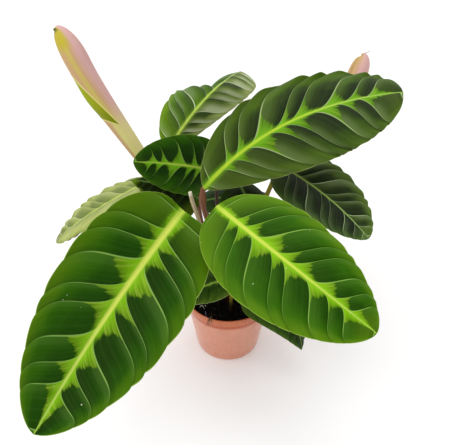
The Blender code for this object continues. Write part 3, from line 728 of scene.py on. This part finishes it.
# A stalk's colour goes from its foot to its top and differs on one side, with fine streaks and specks
# along it.
def stalkPaint(name, look):
    paint = Paint("stalk_" + name)
    along, round_ = paint.uv()
    grain = paint.drawn(along * 14.0, round_ * 26.0, 3.1, 3.0)
    specks = paint.noise(paint.place(), 900.0, 2.0)
    colour = paint.mix(along.step(0.05, 0.45), tint(*look["foot"]), tint(*look["body"]))
    colour = paint.mix(along.step(0.80, 0.94), colour, tint(*look["top"]))
    aside = (round_ * fullTurn + look["phase"]).wave()
    colour = paint.mix(aside.step(-0.2, 0.5) * 0.8, colour, tint(*look["side"]))
    colour = paint.mix((grain - 0.5).step(0.0, 0.2) * 0.55, colour, tint(*look["streak"]))
    colour = paint.mix(specks.step(0.62, 0.72) * 0.5, colour, tint(*look["streak"]))
    # Over the last 40 mm above the soil the stalk turns almost black: painted shade under the leaves.
    _, _, z = paint.place().split()
    colour = paint.mix(z.step(soilTop + 0.040, soilTop + 0.006) * 0.9, colour, tint(18, 12, 8))
    height = grain * 0.8 + specks * 0.2
    return paint.finish(
        colour, 0.42 + (grain - 0.5) * 0.2, height, 0.0003, 0.4, Specular_IOR_Level=0.25,
        Specular_Tint=(0.9, 0.8, 0.6, 1.0))


# A stalk with a channel down one side and a swollen joint below the blade: its radius falls evenly from
# foot to top and swells there as a bell. onward holds the rest of its way, along which it tapers.
def makeStalk(name, foot, end, arrival, shape, paint, topRadius, onward=None):
    make = stalkMake
    stout = shape.get("stout", 1.0)
    path = stalkPath(foot, end, arrival, shape["rise"], shape["reach"])
    radii = np.linspace(make["footRadius"], topRadius, len(path)) * stout
    radii[:2] = make["footRadius"] * stout
    share = np.linspace(0, 1, len(path))
    swell = shape.get("sheath", make["swell"])
    radii = radii * (1 + swell * np.exp(-(((share - make["swellAt"]) / make["swellSpread"]) ** 2)))
    if onward is not None:
        path = np.concatenate([path, onward])
        radii = np.concatenate([radii, np.linspace(radii[-1], topRadius * make["taper"], len(onward))])
    angle = np.arange(make["sides"]) * 2 * math.pi / make["sides"]
    section = 1 - make["channel"] * np.exp(-(((angle - math.pi) / make["channelSpread"]) ** 2))
    points, faces, uv = tube(path, radii, make["sides"], section, (upright, None))
    return makePiece(name, points, faces, uv, [paint])


# Where an open leaf's stalk ends, its direction there and the rest of its way. It comes up under the
# base, with its top just under the rib, and turns into the rib by one more cubic curve.
def stalkEnd(leaf):
    make = stalkMake
    start = leaf.get("under", make["under"])
    point, direction, _, above = midrib(leaf, np.array([start, start + make["run"]]) / leaf["length"])
    radius = make["topRadius"] * leaf.get("stout", 1.0)
    way = unit(point[0] - np.array([*leaf["foot"], soilTop]))
    arrival = unit(np.array(leaf.get("arrival", way + direction[0] * make["bend"])))
    end = point[0] - above[0] * (radius * make["clear"] + bladeMake["ribDepth"] * make["sink"])
    last = point[1] - above[1] * (radius * make["taper"] + bladeMake["ribDepth"] * make["sink"])
    hold = make["run"] / 3
    first, second = end + arrival * hold * make["turnUp"], last - direction[1] * hold
    return end, arrival, cubic(end, first, second, last, make["onwardSteps"])[1:]


# Every open leaf, with its blade, stalk and colours.
def makeOpenLeaves():
    paints = {kind: stalkPaint(kind, look) for kind, look in stalkLooks.items()}
    for seed, (name, leaf) in enumerate(leafShapes.items()):
        top = leafTopPaint(name, leaf, leafLooks[name], seed)
        makeBlade(name, leaf, top, leafUnderPaint(name, leaf, seed))
        end, arrival, onward = stalkEnd(leaf)
        paint = paints[stalkKinds[name]]
        stem = makeStalk(
            "stem_" + name, leaf["foot"], end, arrival, leaf, paint, stalkMake["topRadius"], onward)
        place(stem, "leaf_stalk", "stalk_" + name)
    print("open leaves made:", len(leafShapes))
    return paints


# Rolled leaves

# Each rolled leaf: the foot of its stalk, its base and its tip, its radius at both ends, how far its outer edge
# stands proud and where that edge is, how far it bows and which way its tip leans, and the stalk's straight
# ends. front is where on its way round it faces the plant's front, and flap how far its inside shows.
rollShapes = {
    "rolled_left": dict(
        foot=(-0.022, 0.016), base=(-0.096, 0.063, 0.239), tip=(-0.205, 0.090, 0.424),
        radius=(0.0032, 0.0143), lap=0.16, turn=200, bow=-0.002, lean=(-1.0, 0.0, 0.25),
        rise=0.06, reach=0.040, front=0.75, flap=1.0),
    "rolled_right": dict(
        foot=(0.024, 0.024), base=(0.135, 0.118, 0.250), tip=(0.184, 0.175, 0.372),
        radius=(0.0030, 0.0130), lap=0.16, turn=20, bow=0.005, lean=(-0.4, 0.0, 0.5),
        rise=0.04, reach=0.050, front=0.15, flap=0.0),
}
# What both share: the grid and how much its rows crowd at the tip, the powers of growth and lean, the share
# that closes, the flutes round it and how they twist, and the flap's place, spread and height.
rollMake = dict(
    steps=150, sides=120, crowding=0.4, growth=0.45, closing=0.20, tip=0.14, leanPower=8, flute=0.012,
    flutes=5, fluteTwist=1.5, flapAt=(0.60, 0.52), flapSpread=(0.11, 0.07), flapOut=0.22)
rollLook = dict(
    pink=(222, 176, 172), beige=(206, 168, 122), stripe=(210, 192, 100), base=(236, 230, 152),
    tip=(196, 182, 44), end=(96, 100, 24), inside=(160, 172, 0), vein=(196, 148, 118), edge=(226, 222, 130))


# The colours of a rolled leaf's outside. Left of the front it is beige and right of it pink, as the sine of the
# way round says, with a yellow stripe between. Where flap isn't 0, the green inside shows in a pointed strip
# that runs down from the left edge.
def rollPaint(name, front, flap):
    look = rollLook
    paint = Paint("rolled_leaf_" + name)
    up, round_ = paint.uv()
    turn = (round_ - front + 0.5).part() - 0.5
    aside = (turn * fullTurn).wave()
    streaks = paint.drawn(up * 4.0, round_ * 40.0, 1.7, 3.0)
    clouds = paint.drawn(up * 3.0, round_ * 5.0, 8.2, 2.0)
    drift = aside + (clouds - 0.5) * 0.5 - (0.5 - up) * 0.3 + (1.0 - flap) * 0.5
    colour = paint.mix(drift.step(0.0, 0.75), tint(*look["beige"]), tint(*look["pink"]))
    stripe = abs(drift + 0.18).step(0.36, 0.08) * up.step(1.0, 0.9)
    clear = 0.15 + flap * 0.70
    colour = paint.mix(stripe * clear, colour, tint(*look["stripe"]))
    colour = paint.mix((streaks - 0.5).step(0.0, 0.22) * 0.35, colour, tint(*look["vein"]))
    colour = paint.mix(up.step(0.56, 0.32) * aside.step(-0.75, -0.35) * 0.85, colour, tint(*look["base"]))
    colour = paint.mix(up.step(0.84, 0.92) * aside.step(0.5, 0.0) * clear, colour, tint(*look["tip"]))
    colour = paint.mix(up.step(0.965, 0.99) * aside.step(0.3, -0.1) * flap, colour, tint(*look["end"]))
    if flap:
        upper = (0.735 - up) * 3.5 - 1.0 - aside
        lower = aside + 1.0 - (0.48 - up) * 15.0
        strip = upper.step(0.0, 0.05) * lower.step(-0.05, 0.0)
        strip = strip * turn.step(-0.45, -0.40) * turn.step(0.2, 0.1)
        olive = paint.mix(up.step(0.62, 0.42), tint(*look["inside"]), tint(*look["inside"], 0.62))
        colour = paint.mix(strip * up.step(0.735, 0.725) * flap, colour, olive)
        line = abs(upper + 0.06).step(0.09, 0.03) + abs(lower + 0.12).step(0.14, 0.04) * up.step(0.52, 0.49)
        line = line * turn.step(-0.30, -0.25) * turn.step(0.1, 0.02)
        line = line * up.step(0.40, 0.43) * up.step(0.76, 0.72)
        colour = paint.mix(line * 0.8 * flap, colour, tint(*look["edge"]))
    ribs = (up * 34.0 + round_ * 9.0).wave()
    height = streaks * 0.6 + ribs * 0.4
    return paint.finish(
        colour, 0.46 + (clouds - 0.5) * 0.15, height, 0.0003, 0.4, Specular_IOR_Level=0.2,
        Specular_Tint=(1.0, 0.95, 0.6, 1.0))


# A blade still rolled up: a horn whose radius grows as a power of the way up and closes at the tip as a
# quarter ellipse that leans to one side. Its section grows steadily once round, so that its outer edge
# stands proud, and swells in a bell where a flap opens.
def makeRoll(name, roll, stemPaint):
    make = rollMake
    paint = rollPaint(name, roll["front"], roll["flap"])
    base, tip = np.array(roll["base"]), np.array(roll["tip"])
    direction = unit(tip - base)
    sideways = unit(np.cross(direction, upright))
    even = np.linspace(0, 1, make["steps"])
    share = (1 - make["crowding"]) * even + make["crowding"] * np.sin(math.pi / 2 * even)
    share = share / share[-1]
    path = base + (tip - base) * share[:, None] + sideways * (roll["bow"] * np.sin(math.pi * share))[:, None]
    narrow, wide = roll["radius"]
    radii = narrow + (wide - narrow) * share ** make["growth"]
    closed = np.maximum(share - (1 - make["closing"]), 0) / make["closing"]
    closing = np.maximum(np.sqrt(1 - closed**2), make["tip"])
    lean = np.array(roll["lean"])
    lean = unit(lean - direction * (direction @ lean))
    path = path + lean * (radii * (1 - closing) - wide * share ** make["leanPower"])[:, None]
    radii = radii * closing
    up, round_ = share[:, None], (np.arange(make["sides"]) / make["sides"])[None, :]
    flutes = make["flute"] * np.sin(2 * math.pi * (make["flutes"] * round_ + make["fluteTwist"] * up))
    flapUp, flapRound = make["flapAt"]
    spreadUp, spreadRound = make["flapSpread"]
    fromFlap = ((round_ - flapRound) / spreadRound) ** 2 + ((up - flapUp) / spreadUp) ** 2
    section = 1 + roll["lap"] * round_ + flutes + roll["flap"] * make["flapOut"] * np.exp(-fromFlap)
    start = unit(path[2] - path[0])
    points, faces, uv = tube(path, radii, make["sides"], section, (start, direction), roll["turn"])
    piece = makePiece("new_leaf_" + name, points, faces, uv, [paint], sharp=40)
    place(piece, "new_leaf", "blade_" + name)
    stem = makeStalk(
        "stem_" + name, roll["foot"], base, start, roll, stemPaint, narrow, (base + start * 0.004)[None])
    place(stem, "new_stalk", "stalk_" + name)


# Cut stalk

cutStalk = dict(foot=(-0.020, -0.006), top=(-0.045, -0.022, 0.270), rise=0.10, reach=0.05, radius=0.0022)


# Dry and beige, browner towards the foot, and pale where it is cut.
def cutStalkPaint():
    paint = Paint("cut_stalk")
    along, round_ = paint.uv()
    grain = paint.drawn(along * 9.0, round_ * 22.0, 6.3, 3.0)
    colour = paint.mix(grain.step(0.35, 0.7), tint(206, 192, 150), tint(158, 134, 92))
    colour = paint.mix(along.step(0.6, 0.1) * 0.8, colour, tint(112, 92, 58))
    colour = paint.mix(along.step(0.975, 0.985), colour, tint(236, 228, 204))
    return paint.finish(colour, 0.62 + (grain - 0.5) * 0.2, grain, 0.0004, 0.5)


# The stub of an old leaf: a stalk that ends in a flat cut.
def makeCutStalk():
    end = np.array(cutStalk["top"])
    arrival = unit(end - np.array([*cutStalk["foot"], soilTop]))
    shape = dict(rise=cutStalk["rise"], reach=cutStalk["reach"])
    piece = makeStalk("old_stub", cutStalk["foot"], end, arrival, shape, cutStalkPaint(), cutStalk["radius"])
    return place(piece, "cut_stalk", "cut_stalk")


# Pot

# body is the plastic made paler and pinker, a painted reflection of the white surroundings, and inside is a
# painted shade.
potLook = dict(
    rim=(214, 118, 70), body=(232, 158, 128), inside=(196, 88, 40), pale=(244, 214, 198), dirt=(84, 48, 32),
    segments=144, arcSteps=5, outerRows=14, innerRows=8, floorRings=[0.0, 0.012, 0.024, 0.036])


# Points of a quarter turn between two directions about a middle, as (radius, height).
def arc(middle, radius, start, end, steps):
    angle = np.radians(np.linspace(start, end, steps))
    return [(middle[0] + radius * math.cos(a), middle[1] + radius * math.sin(a)) for a in angle]


# The pot's outline from the axis under the floor, up the outside, over the rim and down the inside.
def potOutline():
    s = potSizes
    band = s["height"] - s["bandHeight"]
    wallTop = s["rimRadius"] - s["bandStep"]
    slope = (wallTop - s["baseRadius"]) / band
    lip = s["lipRound"]
    inner = s["rimRadius"] - s["wall"]
    steps = potLook["arcSteps"]
    rise = np.linspace(s["edgeRound"], band, potLook["outerRows"])
    fall = np.linspace(band - 0.01, s["floor"], potLook["innerRows"])
    outline = [(ring, 0.0) for ring in potLook["floorRings"]]
    outline += arc((s["baseRadius"] - s["edgeRound"], s["edgeRound"]), s["edgeRound"], -90, 0, steps)
    outline += [(s["baseRadius"] + slope * z, z) for z in rise[1:]]
    outline += arc((s["rimRadius"] - lip, band + lip), lip, -90, 0, steps)
    outline += [(s["rimRadius"] + lip * 0.5, band + s["bandHeight"] * 0.5)]
    outline += arc((s["rimRadius"], s["height"] - lip), lip, 0, 90, steps)
    outline += arc((inner + lip, s["height"] - lip), lip, 90, 180, steps)
    outline += [(inner, band + s["wall"]), (wallTop - s["wall"], band - s["wall"])]
    outline += [(s["baseRadius"] + slope * z - s["wall"], z) for z in fall]
    return outline + [(ring, s["floor"]) for ring in reversed(potLook["floorRings"])]


# A closed body turned from an outline whose two ends lie on the axis.
def turned(outline, segments):
    angle = np.arange(segments) * 2 * math.pi / segments
    ring = np.stack([np.cos(angle), np.sin(angle), np.zeros(segments)], -1)
    inside = np.array(outline[1:-1])
    points = ring[None] * inside[:, 0, None, None] + inside[:, 1, None, None] * upright
    rows = len(inside)
    quads, cornerRow, cornerColumn = gridQuads(rows, segments, closed=True)
    uv = np.stack([cornerColumn / segments, cornerRow / rows], -1).reshape(-1, 2)
    ends = np.array([[0, 0, outline[0][1]], [0, 0, outline[-1][1]]])
    first = rows * segments
    end = (rows - 1) * segments
    a = np.arange(segments)
    b = (a + 1) % segments
    firstCap = np.stack([np.full(segments, first), b, a], -1)
    lastCap = np.stack([np.full(segments, first + 1), end + a, end + b], -1)
    caps = np.concatenate([firstCap, lastCap])
    allUv = np.concatenate([uv, np.zeros((caps.size, 2))])
    return np.concatenate([points.reshape(-1, 3), ends]), quads.tolist() + caps.tolist(), allUv


# Terracotta plastic: faint mottling and scuffs, and the plastic's own deeper colour on the band. The body below
# it is paler and pinker, a painted reflection of the white surroundings, and the inside, where the distance
# from the axis is less than the wall's, is deeper still, a painted shade. A little dirt lies on the band.
def potPaint():
    paint = Paint("pot_plastic")
    x, y, z = paint.place().split()
    band = potSizes["height"] - potSizes["bandHeight"]
    mottle = paint.noise(paint.place(), 60.0, 3.0)
    grain = paint.noise(paint.place((1.0, 1.0, 6.0)), 320.0, 2.0)
    scuffs = paint.noise(paint.place((1.0, 1.0, 0.25)), 140.0, 4.0, 0.7)
    # The band keeps the plastic's orange; the paler pink body is a painted reflection of the white
    # surroundings.
    colour = paint.mix(z.step(band - 0.0006, band + 0.0004), tint(*potLook["body"]), tint(*potLook["rim"]))
    fromAxis = (x * x + y * y) ** 0.5 - potSizes["rimRadius"] + potSizes["wall"] * 0.6
    # The inner wall above the soil takes the deeper inside colour: painted shade.
    inner = fromAxis.step(0.0002, -0.0002) * z.step(soilTop - 0.012, soilTop - 0.006)
    colour = paint.mix((mottle - 0.5).step(-0.15, 0.25) * 0.12, colour, tint(*potLook["inside"]))
    colour = paint.mix(inner, colour, tint(*potLook["inside"]))
    colour = paint.mix(scuffs.step(0.62, 0.80) * 0.06, colour, tint(*potLook["pale"]))
    dirt = (z - band).step(0.013, 0.007) * z.step(band, band + 0.006) * scuffs.step(0.5, 0.75) * 0.4
    colour = paint.mix(dirt, colour, tint(*potLook["dirt"]))
    rough = 0.22 + scuffs.step(0.45, 0.8) * 0.20
    return paint.finish(colour, rough, grain + mottle * 0.5, 0.0004, 0.08, Specular_IOR_Level=0.55)


# The pot turned from its outline, with drain holes cut through its floor at even angles.
def makePot():
    points, faces, uv = turned(potOutline(), potLook["segments"])
    piece = makePiece("nursery_pot", points, faces, uv, [potPaint()], sharp=35)
    angle = (np.arange(potSizes["drainHoles"]) + 0.5) * 2 * math.pi / potSizes["drainHoles"]
    cutters = []
    for a in angle:
        bpy.ops.mesh.primitive_cylinder_add(
            vertices=32, radius=potSizes["drainRadius"], depth=potSizes["floor"] * 4,
            location=(potSizes["drainCircle"] * math.cos(a), potSizes["drainCircle"] * math.sin(a), 0))
        cutter = bpy.context.object
        modifier = piece.modifiers.new("hole", "BOOLEAN")
        modifier.operation = "DIFFERENCE"
        modifier.object = cutter
        cutters.append(cutter)
    solid = bpy.data.meshes.new_from_object(piece.evaluated_get(bpy.context.evaluated_depsgraph_get()))
    piece.modifiers.clear()
    piece.data = solid
    for cutter in cutters:
        bpy.data.objects.remove(cutter, do_unlink=True)
    return place(piece, "pot_plastic", "pot")


# Soil

# Its colours and grid, and the number, sizes and lift of the crumbs, white flecks and fibres on it.
soilLook = dict(
    dark=(3, 3, 2), brown=(22, 15, 10), light=(50, 36, 24), rings=56, segments=150, seed=11,
    crumbs=900, crumbSize=(0.0005, 0.0019), crumbLift=0.0003,
    flecks=3, fleckSize=(0.0009, 0.0016), fleckLift=0.0008,
    fibres=120, fibreSize=(0.003, 0.010), fibreLift=0.0006, fibreRadius=(0.00010, 0.00022), fromWall=0.004)


# The height of the soil's top over its mean: the solid's broad bumps, and finer and finer ones over them.
def soilHeight(x, y):
    bump = soilSizes["bump"]
    broad = np.sin(170 * x + 90 * y) * np.cos(140 * y - 60 * x)
    fine = np.sin(520 * x - 310 * y + 1.0) * np.sin(450 * y + 260 * x) * 0.35
    finer = np.sin(1500 * x + 900 * y) * np.sin(1300 * y - 1100 * x + 2.0) * 0.16
    return bump * (broad + fine + finer)


# Dark peat that turns browner and lighter by smooth steps of a coarse and a fine noise.
def soilPaint():
    paint = Paint("peat")
    point = paint.place()
    coarse = paint.noise(point, 260.0, 5.0, 0.7)
    fine = paint.noise(point, 1500.0, 4.0, 0.7)
    colour = paint.mix(coarse.step(0.45, 0.75), tint(*soilLook["dark"]), tint(*soilLook["brown"]))
    colour = paint.mix(fine.step(0.62, 0.75) * 0.5, colour, tint(*soilLook["light"]))
    rough = 0.85 + (fine - 0.5) * 0.3
    return paint.finish(colour, rough, coarse + fine * 0.6, 0.0012, 0.9, Specular_IOR_Level=0.08)


# The soil's body, which follows the pot's inner wall at a clearance. Only its top is rough.
def makeSoil(paint):
    s = potSizes
    clearance = soilSizes["clearance"]
    band = s["height"] - s["bandHeight"]
    slope = (s["rimRadius"] - s["bandStep"] - s["baseRadius"]) / band
    innerBase = s["baseRadius"] + slope * s["floor"] - s["wall"] - clearance
    floor = s["floor"] + clearance
    shoulder = band - s["wall"] * 2
    innerTop = innerBase + slope * (shoulder - floor)
    body = [(0, floor), (innerBase * 0.5, floor), (innerBase, floor), (innerTop, shoulder)]
    rings = soilLook["rings"]
    outline = body + [(innerTop * ring / rings, soilTop) for ring in range(rings, -1, -1)]
    points, faces, uv = turned(outline, soilLook["segments"])
    upper = points[:, 2] > soilTop - clearance
    points[upper, 2] += soilHeight(points[upper, 0], points[upper, 1])
    piece = makePiece("peat", points, faces, uv, [paint], sharp=80)
    return place(piece, "soil", "soil")


# Small copies of one rough lump, each with its own place, size and turn, as one mesh. The lump is a
# squashed ball of twenty triangles, whose corners lie on three golden rectangles.
def scatter(name, spots, sizes, turns, paint, flat=0.6):
    golden = (1 + 5**0.5) / 2
    ball = []
    for a in (-1, 1):
        for b in (-golden, golden):
            ball += [(0, a, b), (a, b, 0), (b, 0, a)]
    ball = unit(np.array(ball))
    edge = np.linalg.norm(ball[:, None] - ball[None], axis=-1)
    near = (edge > 0.1) & (edge < 1.2)
    faces = [
        (i, j, k) for i in range(12) for j in range(i + 1, 12) for k in range(j + 1, 12)
        if near[i, j] and near[j, k] and near[i, k]]
    faces = [f if np.linalg.det(ball[list(f)]) > 0 else f[::-1] for f in faces]
    lump = ball * np.array([1.0, 0.8, flat])
    c, s = np.cos(turns), np.sin(turns)
    x = lump[None, :, 0] * c[:, None] - lump[None, :, 1] * s[:, None]
    y = lump[None, :, 0] * s[:, None] + lump[None, :, 1] * c[:, None]
    z = np.broadcast_to(lump[:, 2], x.shape)
    points = np.stack([x, y, z], -1) * sizes[:, None, None] + spots[:, None]
    allFaces = (np.array(faces)[None] + len(ball) * np.arange(len(spots))[:, None, None]).reshape(-1, 3)
    return makePiece(name, points, allFaces.tolist(), np.zeros((allFaces.size, 2)), [paint], sharp=30)


# Single strands on the soil, over the rim and at a rolled leaf's tip: the start, middle and end of each,
# its radius and colour, and its slot where that isn't the soil.
strands = [
    dict(
        way=((-0.0390, -0.0266, 0.0865), (-0.0360, -0.0256, 0.0955), (-0.0325, -0.0290, 0.0865)),
        radius=0.00060, colour=(232, 226, 204)),
    dict(
        way=((-0.0305, -0.0330, 0.0865), (-0.0310, -0.0400, 0.0930), (-0.0290, -0.0450, 0.0865)),
        radius=0.00035, colour=(172, 150, 196)),
    dict(
        way=((-0.0215, -0.0450, 0.0860), (-0.0235, -0.0560, 0.1080), (-0.0262, -0.0585, 0.0850)),
        radius=0.00070, colour=(92, 70, 24)),
    dict(
        way=((-0.0240, -0.0440, 0.0860), (-0.0215, -0.0570, 0.1050), (-0.0225, -0.0600, 0.0880)),
        radius=0.00055, colour=(130, 100, 40)),
    dict(
        way=((-0.0200, -0.0465, 0.0860), (-0.0250, -0.0550, 0.1060), (-0.0285, -0.0572, 0.0835)),
        radius=0.00050, colour=(70, 44, 22)),
    dict(
        way=((0.1830, 0.1740, 0.3705), (0.1880, 0.1745, 0.3725), (0.1950, 0.1740, 0.3755)),
        radius=0.00050, colour=(206, 140, 136), slot="new_leaf"),
]


# Each strand is a quadratic curve through its three points' pull, thinner to both ends.
def makeStrands():
    t = np.linspace(0, 1, 16)[:, None]
    for number, strand in enumerate(strands):
        name = "strand_" + str(number)
        start, middle, end = np.array(strand["way"])
        path = (1 - t)**2 * start + 2 * t * (1 - t) * middle + t**2 * end
        points, faces, uv = tube(path, strand["radius"] * (0.4 + 0.6 * np.sin(math.pi * t[:, 0])), 8)
        paint = Paint(name)
        tone = paint.noise(paint.place(), 900.0, 2.0)
        colour = paint.mix(tone, tint(*strand["colour"]), tint(*strand["colour"], 0.6))
        finished = paint.finish(colour, 0.6 + (tone - 0.5) * 0.2)
        place(makePiece(name, points, faces, uv, [finished]), strand.get("slot", "soil"))


# Crumbs, fibres and a few white flecks on the soil. Their places are drawn evenly over its disc, so a
# radius is the edge's times the square root of an even draw.
def makeSoilBits(paint):
    look = soilLook
    draw = np.random.default_rng(look["seed"])
    edge = potSizes["rimRadius"] - potSizes["wall"] - look["fromWall"]

    def spots(count, lift):
        radius = edge * np.sqrt(draw.uniform(0, 1, count))
        angle = draw.uniform(0, 2 * math.pi, count)
        x, y = radius * np.cos(angle), radius * np.sin(angle)
        return np.stack([x, y, soilTop + soilHeight(x, y) + lift], -1)

    def turns(count):
        return draw.uniform(0, 6.28, count)

    count = look["crumbs"]
    sizes = draw.uniform(*look["crumbSize"], count)
    places = spots(count, look["crumbLift"])
    place(scatter("peat_crumbs", places, sizes, turns(count), paint), "soil")
    fleckPaint = Paint("perlite")
    grain = fleckPaint.noise(fleckPaint.place(), 1400.0, 3.0)
    colour = fleckPaint.mix(grain, tint(236, 232, 224), tint(186, 180, 170))
    finished = fleckPaint.finish(colour, 0.8 + (grain - 0.5) * 0.2)
    count = look["flecks"]
    places = spots(count, look["fleckLift"])
    sizes = draw.uniform(*look["fleckSize"], count)
    place(scatter("perlite_flecks", places, sizes, turns(count), finished, 0.7), "soil")
    parts = []
    for spot in spots(look["fibres"], look["fibreLift"]):
        turn, size = draw.uniform(0, 2 * math.pi), draw.uniform(*look["fibreSize"])
        t = np.linspace(-0.5, 0.5, 6)[:, None]
        ahead = np.array([math.cos(turn), math.sin(turn), 0.0])
        aside = np.array([-math.sin(turn), math.cos(turn), 0.0])
        path = spot + ahead * t * size + aside * (t**2 - 0.1) * size * draw.uniform(-1, 1)
        path[:, 2] += size * 0.10 * np.cos(3 * t[:, 0]) * draw.uniform(0.2, 1)
        parts.append(tube(path, np.full(len(t), draw.uniform(*look["fibreRadius"])), 4))
    starts = np.cumsum([0] + [len(p[0]) for p in parts[:-1]])
    faces = [[i + int(start) for i in f] for start, p in zip(starts, parts) for f in p[1]]
    fibrePaint = Paint("peat_fibre")
    tone = fibrePaint.noise(fibrePaint.place(), 90.0, 2.0)
    colour = fibrePaint.mix(tone.step(0.4, 0.6), tint(22, 14, 8), tint(60, 42, 26))
    finished = fibrePaint.finish(colour, 0.7 + (tone - 0.5) * 0.2)
    points, uv = np.concatenate([p[0] for p in parts]), np.concatenate([p[2] for p in parts])
    place(makePiece("peat_fibres", points, faces, uv, [finished]), "soil")


# Floor, light and camera

stageLook = dict(
    world=0.62, floorSize=16, floorGlow=0.14, farGlow=0.45, cameraAt=(-0.005, -0.498, 0.564), tilt=54.7,
    sensor=36.0, focalPixels=481, photoPixels=449)
lights = dict(
    key=dict(location=(-0.7, -0.5, 2.3), energy=42.0, size=2.6),
    back=dict(location=(0.9, 1.3, 1.9), energy=6.0, size=1.8))


# A pale floor that glows more the farther it is, so that it meets the white surroundings.
def makeStage():
    bpy.ops.mesh.primitive_plane_add(size=stageLook["floorSize"], location=(0, 0, -0.0005))
    floor = bpy.context.object
    floor.name = "floor"
    paint = Paint("pale_floor")
    tone = paint.noise(paint.place(), 1.5, 2.0)
    x, y, _ = paint.place().split()
    away = ((x * x + y * y) ** 0.5).step(0.8, 3.2)
    near = stageLook["floorGlow"] / stageLook["farGlow"]
    colour = paint.mix(tone, (0.94, 0.94, 0.93), (0.92, 0.92, 0.91))
    glow = paint.mix(away, (near, near, near), (1.0, 1.0, 1.0))
    floor.data.materials.append(
        paint.finish(colour, 0.85, Emission_Color=glow, Emission_Strength=stageLook["farGlow"]))
    world = bpy.data.worlds.new("soft_white")
    world.use_nodes = True
    background = world.node_tree.nodes["Background"]
    background.inputs["Color"].default_value = (1.0, 1.0, 1.0, 1.0)
    background.inputs["Strength"].default_value = stageLook["world"]
    bpy.context.scene.world = world


# A square light that faces its target: tipped by the angle between straight down and its way there.
def addLight(name, location, energy, size, target=(0.0, 0.0, 0.2)):
    data = bpy.data.lights.new(name, "AREA")
    data.energy = energy
    data.size = size
    light = bpy.data.objects.new(name, data)
    light.location = location
    way = np.array(target) - np.array(location)
    level = math.hypot(way[0], way[1])
    light.rotation_euler = (math.atan2(level, -way[2]), 0.0, math.atan2(-way[0], way[1]))
    bpy.context.scene.collection.objects.link(light)


# The camera's lens is the sensor's width times the focal length over the photo's width, both in pixels.
def makeCamera():
    data = bpy.data.cameras.new("camera")
    data.sensor_width = stageLook["sensor"]
    data.lens = stageLook["sensor"] * stageLook["focalPixels"] / stageLook["photoPixels"]
    camera = bpy.data.objects.new("camera", data)
    camera.location = stageLook["cameraAt"]
    camera.rotation_euler = (math.radians(stageLook["tilt"]), 0.0, 0.0)
    bpy.context.scene.collection.objects.link(camera)
    bpy.context.scene.camera = camera
    bpy.context.scene.view_settings.view_transform = "Standard"


makeCamera()
stemPaints = makeOpenLeaves()
for rollName, rollShape in rollShapes.items():
    makeRoll(rollName, rollShape, stemPaints["pale"])
makeCutStalk()
print("rolled leaves and cut stalk made")
makePot()
peat = soilPaint()
makeSoil(peat)
makeSoilBits(peat)
makeStrands()
print("pot and soil made")
makeStage()
for lightName, light in lights.items():
    addLight(lightName, **light)
